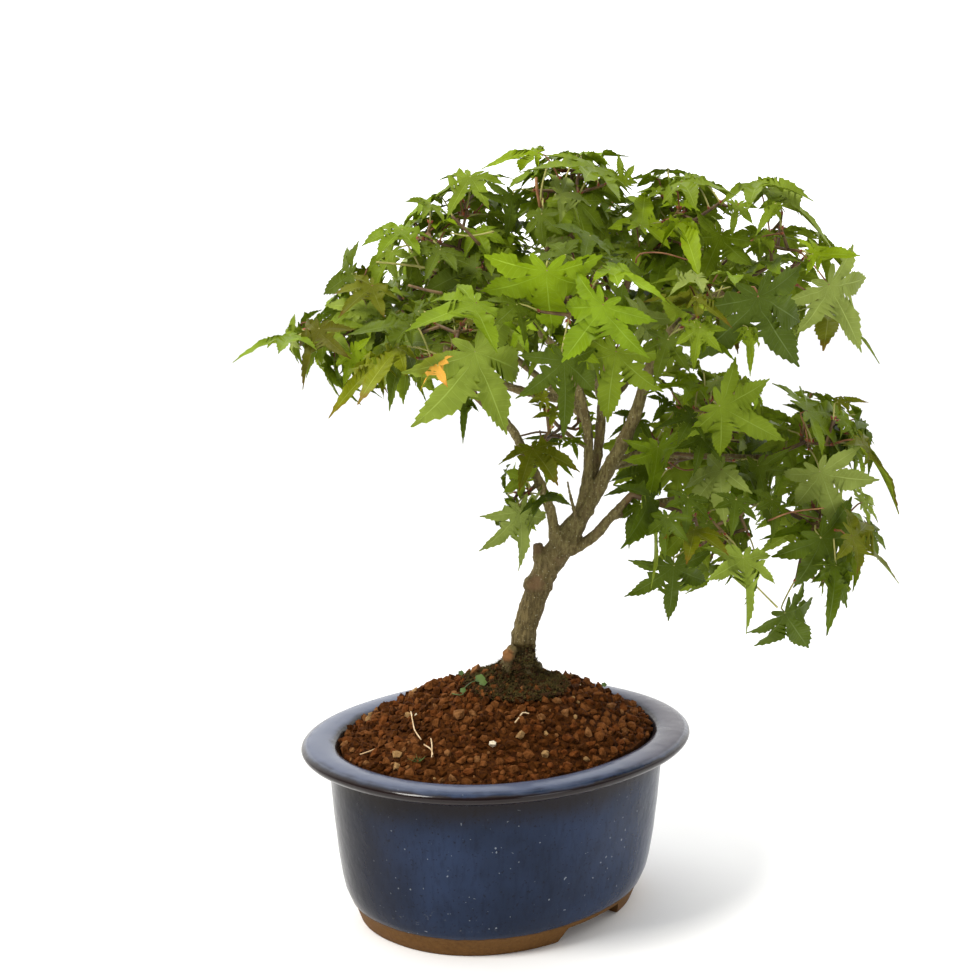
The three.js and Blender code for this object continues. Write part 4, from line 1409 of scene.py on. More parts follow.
def stem_to(joint, leaf, draw):
    """Short lengths of twig from a joint, then the leaf's own stalk."""
    blade_neck = leaf["base"] - leaf["face"] * NECK_DEPTH
    gap = float(np.linalg.norm(blade_neck - joint))
    stalk = min(gap, leaf["lobe"] * PETIOLE_SHARE)
    lengths = max(0, math.ceil((gap - stalk) / TWIG_STEP - 0.25))
    points = [joint]
    for i in range(1, lengths + 1):
        share = ((gap - stalk) / gap) * (i / lengths)
        points.append(joint + (blade_neck - joint) * share + jitter(draw, 1.2))
    points.append(blade_neck)
    radii = np.array([TWIG_RADIUS * 0.9] * (len(points) - 1) + [PETIOLE_RADIUS])
    return with_beads(points, radii, len(points) - 1)


def middles(points):
    return (points[1:] + points[:-1]) / 2


class Grown:
    """What has grown in one mass: stems, leaves and the joints that are still free."""

    def __init__(self, mass):
        self.mass = mass
        main = main_stem(mass)
        self.stems = [main]
        self.leaves = []
        self.joints = joints_on(main["points"])

    def nearest_joint(self, base):
        gaps = [np.linalg.norm(joint - base) for joint in self.joints]
        return int(np.argmin(gaps))

    def keep(self, leaf, stem, joint_index):
        self.leaves.append({**leaf, "stem": stem})
        self.stems.append(stem)
        self.joints.pop(joint_index)
        self.joints += joints_on(stem["points"][:-1])


def grow_round(grown, leaf_count, tries, draw, size_scale, margin, neighbours, front):
    """One round of growth: each leaf asks for a place, and a stem grows to it from the nearest joint."""
    mass = grown.mass
    for k in range(leaf_count):
        wanted = spread_place(mass, k, leaf_count, draw)
        for attempt in range(tries):
            share = attempt / tries
            base = mass.centre + wanted * (1 - 0.4 * share) + jitter(draw, 2 + 14 * share)
            lobe = mass.lobe * size_scale * (0.8 + 0.35 * draw()) * (1 - 0.25 * share)
            joint_index = grown.nearest_joint(base)
            joint = grown.joints[joint_index]
            leaf = leaf_at(mass, draw, base, lobe, unit(base - joint))
            stem = stem_to(joint, leaf, draw)
            places = np.concatenate([leaf_points(leaf, PLACES), stem["points"][1:], middles(stem["points"])])
            if not in_own_space(mass, places, margin) or not clear_of_limbs(places):
                continue
            if hides_front(leaf, front) or not in_crown(leaf_points(leaf, OUTLINE)):
                continue
            leaf["sheet"] = sheet_of(leaf)
            if crosses(leaf["sheet"], stem, grown.leaves, grown.stems, neighbours):
                continue
            grown.keep(leaf, stem, joint_index)
            break


def hides_front(leaf, front):
    """Whether a leaf would stand between the eye and one of the leaves placed from the photograph."""
    if not front:
        return False
    spots, depths = pixels_of(leaf_points(leaf, PLACES))
    for other in front:
        near = np.linalg.norm(spots - other["pixel"], axis=1) < other["clear"]
        if (near & (depths < other["depth"])).any():
            return True
    return False


# The crown's outline and the sky inside it, as loops of pixels read off the photograph
CROWN_LOOPS = [
    [
        (236, 364), (283, 336), (285, 312), (296, 318), (318, 312), (322, 288), (342, 258), (358, 240),
        (384, 222), (415, 212), (420, 200), (440, 188), (462, 172), (480, 168), (512, 170), (520, 158),
        (545, 150), (600, 152), (622, 150), (636, 170), (655, 164), (680, 170), (705, 176), (735, 174),
        (778, 176), (802, 196), (824, 232), (838, 246), (875, 256), (862, 272), (876, 274), (862, 300),
        (876, 352), (868, 366), (846, 345), (826, 312), (812, 332), (810, 362), (790, 345), (770, 325),
        (754, 330), (754, 376), (740, 358), (730, 340), (700, 355), (712, 372), (752, 378), (775, 379),
        (768, 396), (790, 398), (812, 382), (835, 398), (872, 400), (862, 416), (876, 440), (906, 516),
        (888, 500), (876, 480), (880, 500), (888, 530), (885, 540), (908, 584), (880, 575), (860, 560),
        (856, 615), (838, 600), (824, 638), (815, 600), (806, 580), (797, 595), (797, 548), (760, 548),
        (778, 585), (758, 575), (748, 634), (738, 600), (715, 585), (690, 585), (690, 610), (672, 626),
        (668, 600), (626, 600), (655, 575), (640, 560), (640, 520), (625, 520), (618, 552), (612, 500),
        (602, 500), (600, 470), (590, 470), (585, 440), (570, 440), (565, 400), (545, 395), (520, 380),
        (505, 372), (505, 432), (485, 415), (466, 443), (455, 415), (440, 415), (412, 430), (400, 400),
        (390, 414), (375, 395), (358, 410), (330, 424), (345, 385), (322, 375), (302, 390), (285, 345),
        (262, 360),
    ],
    [
        (545, 440), (500, 448), (482, 478), (498, 500), (485, 520), (478, 555), (500, 552), (516, 578),
        (528, 560), (548, 530), (560, 500), (578, 520), (560, 455),
    ],
    [
        (757, 228), (762, 215), (772, 205), (785, 210), (800, 220), (803, 232), (785, 232), (770, 228),
    ],
]


def in_crown(points):
    """Whether every point falls inside the crown's outline as the photograph shows it."""
    spots = pixels_of(points)[0]
    inside = np.zeros(len(spots), bool)
    for loop in CROWN_LOOPS:
        for (x0, y0), (x1, y1) in zip(loop, loop[1:] + loop[:1]):
            level = (spots[:, 1] < y0) != (spots[:, 1] < y1)
            edge = x0 + (spots[:, 1] - y0) * (x1 - x0) / ((y1 - y0) or 1)
            inside ^= level & (spots[:, 0] < edge)
    return inside.all()


# Leaves at the front that the photograph shows one by one: the pixel of the hub, the pixels of the
# tips of the lobe before the middle one, of the middle one and of the one after it, counted
# anticlockwise, then how broad the lobes are, and the tint
FRONT_LEAVES = [
    ((547, 271), (478, 289), (555, 327), (600, 286), 1.45, "spring"),
    ((603, 305), (566, 303), (563, 360), (651, 358), 1.4, "spring_dim"),
    ((476, 303), (428, 296), (403, 333), (496, 357), 1.35, "grass"),
    ((610, 270), (618, 290), (671, 305), (634, 266), 1.25, "spring"),
    ((438, 366), (418, 393), (449, 389), (451, 366), 1.1, "gold"),
    ((475, 352), (413, 431), (507, 436), (528, 366), 1.4, "meadow"),
    ((616, 352), (564, 361), (608, 422), (664, 393), 1.0, "leafy"),
    ((564, 360), (519, 401), (565, 440), (599, 391), 0.85, "deep"),
    ((640, 318), (650, 342), (681, 317), (640, 292), 1.45, "silver"),
    ((590, 236), (549, 229), (580, 271), (610, 262), 1.0, "deep"),
    ((517, 305), (494, 330), (522, 352), (552, 342), 1.1, "shade"),
    ((476, 268), (440, 247), (423, 293), None, 1.1, "shade"),
    ((658, 447), (622, 462), (647, 518), (692, 440), 0.9, "grass"),
    ((533, 449), (518, 494), (557, 489), (582, 471), 0.9, "olive"),
    ((720, 406), (723, 457), (793, 442), (774, 378), 1.15, "leafy"),
    ((721, 470), (684, 487), (690, 517), (721, 525), 1.05, "silver"),
    ((758, 466), (742, 478), (778, 540), (797, 470), 0.85, "shade"),
    ((820, 472), (801, 509), (854, 541), (876, 482), 1.3, "silver"),
    ((807, 411), (849, 460), (858, 415), (812, 383), 1.1, "leafy"),
    ((863, 443), (857, 467), (904, 515), (880, 461), 0.6, "olive"),
    ((838, 402), None, (872, 401), None, 0.9, "olive"),
    ((821, 538), (795, 591), (853, 616), (884, 533), 1.15, "deep"),
    ((852, 536), (858, 575), (907, 586), (880, 523), 1.0, "olive"),
    ((836, 566), None, (824, 637), None, 0.9, "deep"),
    ((785, 613), (759, 653), (814, 650), (822, 600), 1.5, "deep"),
    ((743, 558), (701, 580), (747, 635), (778, 587), 0.9, "meadow"),
    ((674, 566), (625, 599), (671, 626), (716, 584), 0.9, "deep"),
    ((650, 497), (619, 548), (648, 590), None, 0.85, "deep"),
    ((694, 530), (661, 537), (682, 563), (727, 556), 1.15, "olive"),
    ((655, 478), None, (603, 499), None, 1.0, "deep"),
    ((290, 336), None, (235, 364), (286, 359), 0.8, "grass"),
    ((352, 274), (345, 242), (322, 290), (360, 304), 1.3, "shade"),
    ((402, 230), (360, 243), (376, 262), (424, 262), 1.0, "grass"),
    ((319, 329), (296, 345), (301, 390), (351, 360), 0.85, "bronze"),
    ((398, 348), None, (358, 408), None, 1.3, "straw_green"),
    ((378, 362), None, (327, 423), None, 0.6, "straw_green"),
    ((407, 342), None, (390, 413), (420, 386), 1.0, "shade"),
    ((410, 325), None, (344, 334), None, 1.15, "shade"),
    ((466, 398), None, (463, 443), None, 0.7, "deep"),
    ((594, 168), (520, 174), (580, 191), (617, 211), 1.2, "leafy"),
    ((538, 153), None, (478, 162), None, 0.8, "lime"),
    ((682, 182), (693, 214), (736, 202), None, 1.0, "leafy"),
    ((640, 225), (684, 232), (648, 183), (621, 213), 1.5, "lime"),
    ((680, 222), None, (692, 288), None, 0.9, "lime"),
    ((560, 195), (583, 231), (594, 205), (572, 169), 1.0, "silver"),
    ((513, 195), (478, 190), (507, 235), (534, 197), 1.0, "deep"),
    ((470, 177), (426, 203), (448, 226), (490, 214), 1.0, "leafy"),
    ((721, 235), (688, 233), (704, 280), (755, 266), 1.05, "leafy"),
    ((758, 297), (692, 364), (811, 365), (812, 318), 1.2, "deep_front"),
    ((698, 298), None, (730, 333), None, 1.6, "olive"),
    ((757, 182), (741, 216), (807, 207), None, 1.0, "leafy"),
    ((770, 190), None, (833, 253), None, 0.9, "meadow"),
    ((813, 254), (808, 272), (879, 257), (806, 233), 1.2, "lime"),
    ((829, 285), (799, 332), (875, 349), (877, 271), 1.2, "silver"),
    ((829, 306), (808, 354), (872, 368), None, 0.85, "olive"),
    ((520, 511), (480, 553), (520, 575), (547, 520), 0.9, "silver"),
    ((545, 495), (533, 520), (572, 508), None, 1.0, "deep"),
    ((640, 420), (612, 410), (606, 440), (628, 452), 1.0, "deep"),
    ((648, 470), (618, 455), (608, 482), (632, 502), 1.0, "deep"),
    ((692, 418), (660, 406), (650, 432), (676, 446), 1.0, "deep"),
    ((555, 412), (530, 403), (531, 420), (549, 427), 0.9, "straw_green"),
    ((561, 438), None, (522, 440), None, 0.8, "deep"),
    ((548, 456), (520, 470), (545, 487), (574, 478), 0.9, "leafy"),
    ((668, 340), (641, 352), (655, 386), (690, 374), 1.0, "shade"),
    ((700, 328), (676, 345), (692, 372), (722, 354), 0.9, "leafy"),
    ((702, 438), (674, 450), (692, 478), (724, 462), 1.0, "deep"),
    ((688, 498), (662, 508), (682, 538), (712, 522), 1.0, "deep"),
    ((772, 500), (750, 512), (768, 545), (794, 528), 0.9, "shade"),
    ((736, 500), (712, 510), (730, 540), (758, 522), 0.9, "deep"),
    ((668, 402), (645, 396), (650, 425), (680, 420), 1.1, "deep"),
    ((545, 398), (530, 388), (527, 402), (540, 412), 0.9, "straw_green"),
    ((572, 440), (560, 448), (577, 462), (588, 446), 0.9, "leafy"),
    ((668, 518), (648, 538), (664, 562), (688, 543), 1.0, "deep"),
    ((640, 505), (620, 518), (628, 550), (649, 536), 1.0, "deep"),
    ((738, 205), (722, 214), (731, 240), (752, 226), 1.0, "leafy"),
    ((775, 204), None, (752, 240), None, 0.9, "leafy"),
    ((756, 238), None, (803, 235), None, 0.8, "leafy"),
    ((372, 286), (333, 294), (340, 318), (386, 322), 1.0, "olive"),
    ((392, 252), (362, 268), (370, 294), (398, 284), 1.0, "leafy"),
    ((292, 336), None, (292, 311), None, 0.9, "leafy"),
    ((622, 182), (636, 162), (618, 151), (603, 166), 0.8, "leafy"),
    ((694, 384), (662, 371), (641, 397), (680, 408), 0.8, "lime"),
    ((748, 330), None, (750, 377), None, 0.8, "leafy"),
    ((700, 335), None, (736, 363), None, 0.9, "grass"),
    ((812, 528), None, (757, 541), None, 0.9, "grass"),
    ((430, 205), (404, 204), (421, 224), (446, 226), 0.9, "leafy"),
    ((440, 250), (404, 262), (424, 286), (458, 276), 0.9, "shade"),
]
# The three lobes that those tips belong to: degrees and share of the middle one's length
SIDE_LOBES = np.array([(-48, 0.93), (0, 1), (48, 0.93)])
# How many ways to face, and turns for each, are tried for a leaf
FACE_CHOICES = 260
TURN_CHOICES = 60
# The least and greatest middle lobe, in millimetres
LOBE_RANGE = (9, 40)
# How far a lobe may be pulled to its pixel, as a share of the middle lobe
MOST_PULL = 0.55
# The blade's breadth for a row that says 1
FRONT_BREADTH = 0.74
# Leaves of this tint may hang behind a bough
BEHIND_BOUGHS = "deep"
# How much nearer to the eye the leaves of a tint hang
FORWARD = {"gold": 12}
# How long a lobe is, of its full length, where another leaf hides it in the photograph
HIDDEN_LOBE = 0.42
# How far to the front a leaf may reach, where the solids end
NEAR_LIMIT = -90
# How much further off or nearer a leaf is tried, in turn, until it passes through no other
DEPTH_TRIES = (0, 3, -3, 6, -6, 9, -9, 12, 16, 20)


def face_choices():
    """Faces spread over all ways, and for each a set of turns, as frames of along, side and face."""
    frames = []
    for k in range(FACE_CHOICES):
        height = 1 - 2 * (k + 0.5) / FACE_CHOICES
        flat = math.sqrt(1 - height * height)
        turned = k * GOLDEN_ANGLE
        face = np.array([math.cos(turned) * flat, math.sin(turned) * flat, height])
        first = unit(np.cross(face, (0.1, 0.2, 1)))
        second = np.cross(face, first)
        for turn in np.arange(TURN_CHOICES) * 2 * math.pi / TURN_CHOICES:
            along = first * math.cos(turn) + second * math.sin(turn)
            frames.append((along, np.cross(face, along), face))
    return np.array(frames)


FRAMES = face_choices()


def lobe_end(degrees, share):
    """Where a lobe ends on a leaf of size one: along it, to its side and off its face."""
    turned = math.radians(degrees)
    return (math.cos(turned) * share, math.sin(turned) * share, -TIP_DROOP * share**2)


def pose_of_leaf(base, way, tips):
    """The turn and size that bring a leaf's lobes nearest to their pixels, with the face to the eye."""
    lobe_rows = [row for row, tip in zip(SIDE_LOBES, tips) if tip]
    rows = np.array([lobe_end(degrees, share) for degrees, share in lobe_rows])
    depth = (base - EYE).dot(unit(sight_way((FRAME_PIXELS / 2, FRAME_PIXELS / 2))))
    hub_spot = pixels_of([base])[0][0]
    targets = (np.array([tip for tip in tips if tip], float) - hub_spot) * depth / FOCAL_PIXELS
    screen_down = -np.array([0, math.sin(PITCH), math.cos(PITCH)])
    screen = np.stack([np.array([1.0, 0, 0]), screen_down])
    reached = np.einsum("pk,nkj,sj->nps", rows, FRAMES, screen)
    lobes = (reached * targets).sum((1, 2)) / (reached**2).sum((1, 2))
    lobes = np.clip(lobes, *LOBE_RANGE)
    misses = ((reached * lobes[:, None, None] - targets) ** 2).sum((1, 2))
    wish = unit(-way * 0.8 + UP * 0.8 + unit(base - CROWN_HEART) * 0.3)
    misses += (1 - FRAMES[:, 2] @ wish) * 30 + (FRAMES[:, 2] @ way > -0.2) * 10000
    best = misses.argmin()
    pulls = np.zeros((len(LOBES), 3))
    for (degrees, _), spot, target in zip(lobe_rows, reached[best] * lobes[best], targets):
        miss = (target - spot) @ screen / lobes[best]
        pulls[list(AXES[1:-1]).index(degrees)] = miss * min(1, MOST_PULL / (np.linalg.norm(miss) + 1e-6))
    pulls[1] = pulls[2] / 2
    pulls[5] = pulls[4] / 2
    return FRAMES[best], lobes[best], pulls


def front_leaf(row, placed):
    """A leaf on the near side of the mass that its pixel falls on."""
    hub, *tips, breadth, tint = row
    way = unit(sight_way(hub))
    mass, far = nearest_mass(way)
    reach = math.hypot(tips[1][0] - hub[0], tips[1][1] - hub[1])
    if tint != BEHIND_BOUGHS:
        far = before_limbs(way, far, hub, reach)
    far -= FORWARD.get(tint, 0)
    hidden = np.array([1.0 if tip else HIDDEN_LOBE for tip in tips])
    shares = hidden[[0, 0, 0, 1, 2, 2, 2]]
    for pull in DEPTH_TRIES:
        base = EYE + way * (far + pull)
        (along, _, face), lobe, pulls = pose_of_leaf(base, way, tips)
        leaf = {"base": base, "face": face, "along": along, "lobe": float(lobe)}
        leaf.update(tint=tint, breadth=FRONT_BREADTH * breadth**0.75, pulls=pulls, shares=shares)
        leaf["sheet"] = sheet_of(leaf)
        near = [other for other in placed if np.linalg.norm(other["base"] - base) < other["lobe"] + lobe]
        free = all(not lines_meet(leaf["sheet"]["lines"], other["sheet"]["triangles"]) for other in near)
        if free and leaf_points(leaf, OUTLINE)[:, 1].min() > NEAR_LIMIT:
            break
    leaf["pixel"] = np.array(hub)
    leaf["clear"] = reach * 0.7
    leaf["depth"] = float(pixels_of([base])[1][0])
    leaf["calm"] = 0.4
    return mass, leaf


def before_limbs(way, far, hub, reach):
    """How far off a leaf hangs when it may not hide behind a bough that crosses it."""
    spots, depths = pixels_of(BEADS[:, :3])
    over = np.linalg.norm(spots - hub, axis=1) < reach * 0.7
    ratio = pixels_of([EYE + way * far])[1][0] / far
    if not over.any():
        return far
    return min(far, depths[over].min() / ratio - LIMB_MARGIN * 3)


def nearest_mass(way):
    """The mass that a line of sight meets first, and how far off it passes inside its near side."""
    best = None
    for mass in MASSES:
        start = (EYE - mass.centre) / mass.reach
        step = way / mass.reach
        a, b, c = step.dot(step), 2 * start.dot(step), start.dot(start) - 0.9
        inner = b * b - 4 * a * c
        if inner >= 0:
            rating = (-b - math.sqrt(inner)) / (2 * a)
            miss = 0
        else:
            rating = -b / (2 * a)
            miss = math.sqrt(max(0, start.dot(start) - b * b / (4 * a))) - 1
        row = (miss > 0, miss if miss > 0 else rating, rating, mass)
        if best is None or row[:2] < best[:2]:
            best = row
    return best[3], best[2]


def grow_crown():
    """Front leaves first, then the rule of the solids, then smaller leaves that fill in between."""
    crown = {mass.name: Grown(mass) for mass in MASSES}
    front = []
    for row in FRONT_LEAVES:
        mass, leaf = front_leaf(row, front)
        grown = crown[mass.name]
        joint_index = grown.nearest_joint(leaf["base"])
        draw = number_source(len(front) + STEM_SEED)
        stem = stem_to(grown.joints[joint_index], leaf, draw)
        grown.keep(leaf, stem, joint_index)
        front.append(leaf)
    for index, mass in enumerate(MASSES):
        draw = number_source(MASS_SEED * (index + 1))
        grow_round(crown[mass.name], mass.leaves, TRIES, draw, 1, SPACE_MARGIN, (), front)
    for index, mass in enumerate(MASSES):
        draw = number_source(FILL_SEED + index)
        others = [leaf for name, grown in crown.items() if name != mass.name for leaf in grown.leaves]
        count = round(mass.leaves * FILL_SHARE)
        grow_round(crown[mass.name], count, FILL_TRIES, draw, FILL_SIZE, FILL_MARGIN, others, front)
    return crown


# The leaf blade, modelled once: lobes as degrees, length, columns of faces, and the notch on each side
# as half the angle between the lobes and share of the middle lobe's length
LOBES = [
    (0, 1.0, 20, (24, 0.2), (24, 0.2)),
    (48, 0.93, 20, (24, 0.2), (23.5, 0.175)),
    (-48, 0.93, 20, (23.5, 0.175), (24, 0.2)),
    (95, 0.7, 16, (23.5, 0.175), (22.5, 0.1)),
    (-95, 0.7, 16, (22.5, 0.1), (23.5, 0.175)),
    (140, 0.3, 6, (22.5, 0.1), (40, 0.045)),
    (-140, 0.3, 6, (40, 0.045), (22.5, 0.1)),
]
AXES = np.array([-180, -140, -95, -48, 0, 48, 95, 140, 180])
# Columns of faces between the hub and the notch, how full a lobe is, how far its teeth stand out, and
# how thick the blade is, all for a middle lobe of length one
WEB = 2
LOBE_FULLNESS = 1.28
TOOTH = 0.034
BLADE_THICKNESS = 0.009


def lobe_margin(column, columns, length, notch):
    """Where the margin runs: out along the notch line, then round the lobe to its tip, with teeth."""
    half, foot = math.radians(notch[0]), notch[1]
    if column <= WEB:
        share = column / WEB
        return foot * math.cos(half) * share, foot * math.sin(half) * share
    q = (column - WEB) / (columns - WEB)
    start = foot * math.cos(half)
    width = foot * math.sin(half) * (1 - q) ** 6 + LOBE_FULLNESS * length * q**1.2 * (1 - q) ** 1.6
    run = start + (length - start) * q
    if (column - WEB) % 2 and column < columns:
        width += TOOTH * length * (1 - q) ** 0.7
        run += 0.75 * (length - start) / (columns - WEB)
    return run, width


def lobe_grid(degrees, length, columns, right, left):
    """One lobe: a strip of faces bent to the lobe's outline."""
    at_rest()
    bpy.ops.mesh.primitive_grid_add(x_subdivisions=columns, y_subdivisions=2, size=1)
    lobe = bpy.context.object
    axis = math.radians(degrees)
    for vertex in lobe.data.vertices:
        column = round((vertex.co.x + 0.5) * columns)
        runs = [lobe_margin(column, columns, length, notch) for notch in (right, left)]
        if abs(vertex.co.y) < 0.1:
            run, across = (runs[0][0] + runs[1][0]) / 2, 0
        else:
            run, across = runs[vertex.co.y > 0]
            across = math.copysign(across, vertex.co.y)
        x = run * math.cos(axis) - across * math.sin(axis)
        y = run * math.sin(axis) + across * math.cos(axis)
        vertex.co = (x, y, 0)
    return lobe


def leaf_template():
    """The lobes joined into one blade with a thin underside, as corners, triangles, map and sides."""
    lobes = [lobe_grid(*row) for row in LOBES]
    pick(lobes[0])
    for lobe in lobes:
        lobe.select_set(True)
    bpy.ops.object.join()
    blade_mesh = bpy.context.object
    bpy.ops.object.mode_set(mode="EDIT")
    bpy.ops.mesh.select_all(action="SELECT")
    bpy.ops.mesh.remove_doubles(threshold=0.0005)
    bpy.ops.mesh.duplicate()
    bpy.ops.mesh.flip_normals()
    bpy.ops.transform.translate(value=(0, 0, -BLADE_THICKNESS))
    bpy.ops.mesh.select_all(action="DESELECT")
    bpy.ops.mesh.select_non_manifold()
    bpy.ops.transform.resize(value=(1, 1, 0), center_override=(0, 0, 0))
    bpy.ops.mesh.remove_doubles(threshold=0.0005)
    bpy.ops.mesh.select_all(action="SELECT")
    bpy.ops.mesh.quads_convert_to_tris()
    bpy.ops.object.mode_set(mode="OBJECT")
    corners, faces, uv = triangles_of(blade_mesh)
    first, second, third = (corners[faces[:, k]] for k in range(3))
    under = np.cross(second - first, third - first)[:, 2] < 0
    bpy.data.objects.remove(blade_mesh)
    return corners, faces, uv, under


def smoothstep(low, high, value):
    share = np.clip((value - low) / (high - low), 0, 1)
    return share * share * (3 - 2 * share)


class Blade:
    """The blade's template, and what is needed to bend each copy of it."""

    def __init__(self):
        self.corners, self.faces, self.uv, self.under = leaf_template()
        x, y = self.corners[:, 0], self.corners[:, 1]
        self.radius = np.hypot(x, y)
        self.angle = np.degrees(np.arctan2(y, x))
        gaps = (self.angle[:, None] - AXES[None, 1:-1] + 180) % 360 - 180
        nearest = np.abs(gaps).argmin(axis=1)
        self.axis = np.radians(AXES[1:-1][nearest])
        self.lobe = nearest
        self.lobe_length = np.array([row[1] for row in sorted(LOBES)])[nearest]
        turn = np.radians(self.angle) - self.axis
        self.run = self.radius * np.cos(turn)
        self.across = self.radius * np.sin(turn)
        self.free = smoothstep(0.16, 0.3, self.radius)
        self.uv = np.stack([self.run[self.faces.ravel()], self.uv[:, 1]], 1)

    def by_lobe(self, values):
        """One value for each lobe, passing smoothly from lobe to lobe. The ends share a value."""
        return np.interp(self.angle, AXES, [values[0], *values, values[-1]])

    def bent(self, leaf, rng):
        """The corners of one copy, bent, drooping and in place."""
        wild = leaf.get("calm", 1)
        lengths = self.by_lobe(balanced(leaf.get("shares", 1) * (1 - 0.12 * wild * rng.uniform(size=7))))
        droop = self.by_lobe(balanced(TIP_DROOP + rng.normal(0, 0.11 * wild, 7) + OUTER_DROOP))
        sway = self.by_lobe(balanced(rng.normal(0, 0.07 * wild, 7)))
        twist = self.by_lobe(balanced(rng.normal(0, 0.3, 7)))
        fold = rng.uniform(0.2, 0.55)
        breadth = 1 + (leaf.get("breadth", rng.uniform(0.64, 1.0)) - 1) * self.free
        across = self.across * breadth + sway * self.free * self.run**2
        x = (self.run * np.cos(self.axis) - across * np.sin(self.axis)) * lengths
        y = (self.run * np.sin(self.axis) + across * np.cos(self.axis)) * lengths
        ripple = np.sin(self.run * rng.uniform(14, 22) + rng.uniform(0, 6)) * 0.09 * np.abs(self.across)
        z = fold * np.abs(self.across) + twist * self.free * self.across + ripple
        z = z - droop * self.radius**2 + self.corners[:, 2]
        side = np.cross(leaf["face"], leaf["along"])
        spots = np.outer(x, leaf["along"]) + np.outer(y, side) + np.outer(z, leaf["face"])
        if "pulls" in leaf:
            reach = self.free * np.clip(self.run / self.lobe_length, 0, 1) ** 1.4
            spots += reach[:, None] * leaf["pulls"][self.lobe]
        return leaf["base"] + spots * leaf["lobe"]


OUTER_DROOP = np.array([0.05, 0.12, 0.03, 0, 0.03, 0.12, 0.05])


def balanced(values):
    """The two lobes beside the stalk agree, so that nothing tears between them."""
    values[0] = values[-1]
    return values


# Leaf tints: the upper side, the light that comes through, and brown tips if any
TINTS = {
    "spring": (paint(138, 164, 14), paint(172, 200, 14), None),
    # The spring green darkened as painted shade
    "spring_dim": (paint(122, 148, 14), paint(160, 188, 14), None),
    "meadow": (paint(142, 160, 54), paint(166, 186, 46), None),
    "lime": (paint(130, 152, 2), paint(190, 205, 3), None),
    "grass": (paint(117, 139, 12), paint(162, 184, 12), None),
    "leafy": (paint(115, 134, 16), paint(156, 174, 14), None),
    "deep": (paint(80, 97, 4), paint(120, 140, 6), None),
    "deep_front": (paint(78, 95, 14), paint(118, 138, 12), None),
    "shade": (paint(88, 104, 8), paint(130, 146, 8), None),
    # A green that carries a pale, bluish painted sheen
    "silver": (paint(142, 156, 70), paint(158, 174, 50), None),
    "olive": (paint(103, 108, 4), paint(164, 163, 7), paint(116, 71, 14)),
    "bronze": (paint(92, 92, 6), paint(143, 138, 8), paint(90, 48, 11)),
    "straw_green": (paint(126, 134, 12), paint(172, 176, 16), paint(128, 92, 20)),
    "gold": (paint(216, 162, 62), paint(228, 176, 60), paint(190, 122, 40)),
}
UNDERSIDE = (paint(134, 152, 34), paint(168, 186, 22), None)
# The tints that leaves get by chance, and the chances out in the light and inside the crown
COMMON_TINTS = ["leafy", "grass", "deep", "shade", "meadow", "silver", "olive", "bronze", "lime", "spring"]
BRIGHT_CHANCES = np.array([0.2, 0.2, 0.08, 0.08, 0.14, 0.13, 0.05, 0.02, 0.05, 0.05])
DIM_CHANCES = np.array([0.19, 0.13, 0.26, 0.2, 0.02, 0.03, 0.08, 0.07, 0.01, 0.01])


def tint_of(leaf, rng):
    """Outer and upper leaves get lighter tints and inner ones darker: painted light and shade."""
    if "tint" in leaf:
        return leaf["tint"]
    out = np.linalg.norm((leaf["base"] - CROWN_HEART) / (100, 75, 80))
    light = np.clip(out * 0.55 + (leaf["base"][2] - 200) / 260, 0, 1)
    chances = BRIGHT_CHANCES * light + DIM_CHANCES * (1 - light)
    return COMMON_TINTS[rng.choice(len(COMMON_TINTS), p=chances / chances.sum())]


def make_leaves(grown, blade_shape, finishes, rng):
    """All the leaves of one mass, with the finishes that it uses."""
    heap = Heap()
    used = ["underside"]
    for leaf in grown.leaves:
        tint = tint_of(leaf, rng)
        if tint not in used:
            used.append(tint)
        slots = np.where(blade_shape.under, 0, used.index(tint))
        heap.add(blade_shape.bent(leaf, rng), blade_shape.faces, slots, blade_shape.uv)
    name = grown.mass.name
    leaves = heap.piece(name + "_leaves", [finishes[tint] for tint in used])
    hand_over(leaves, "leaf", name)


def petiole_line(stem, leaf):
    """The stalk's line: out of the twig, and into the blade from behind its hub."""
    start = stem["points"][-2]
    hub = leaf["base"]
    lobe = leaf["lobe"]
    arrive = hub - leaf["along"] * lobe * 0.1 - leaf["face"] * lobe * 0.05
    middle = (start + arrive) / 2 + UP * lobe * 0.03
    return smooth_line([start, middle, arrive, hub - leaf["face"] * 0.1], 2.2)


def make_twigs(grown, finishes, rng):
    """The main stem, the twigs with their buds, and each leaf's stalk."""
    heap = Heap()
    main = grown.stems[0]
    line = smooth_line([main["points"][0] - grown.mass.root_way * 2.5, *main["points"]], 2.2)
    shares = np.linspace(0, 1, len(line))
    heap.add(*tube(line, grown.mass.root_radius * (1 - shares) + TWIG_RADIUS * shares, 8), 0)
    for leaf in grown.leaves:
        stem = leaf["stem"]
        twig = stem["points"][: stem["twig"]]
        if len(twig) > 1:
            line = smooth_line(twig, 2.2)
            heap.add(*tube(line, np.linspace(0.75, 0.55, len(line)), 7), 0)
        stalk = petiole_line(stem, leaf)
        slot = 1 + int(rng.uniform() < 0.3)
        width = np.interp(np.linspace(0, 1, len(stalk)), [0, 0.12, 0.8, 1], [0.62, 0.36, 0.32, 0.42])
        heap.add(*tube(stalk, width, 6), slot)
        add_buds(heap, stem["points"][-2], unit(stalk[1] - stalk[0]))
    twigs = heap.piece(grown.mass.name + "_twigs", finishes)
    hand_over(twigs, "bark", grown.mass.name)


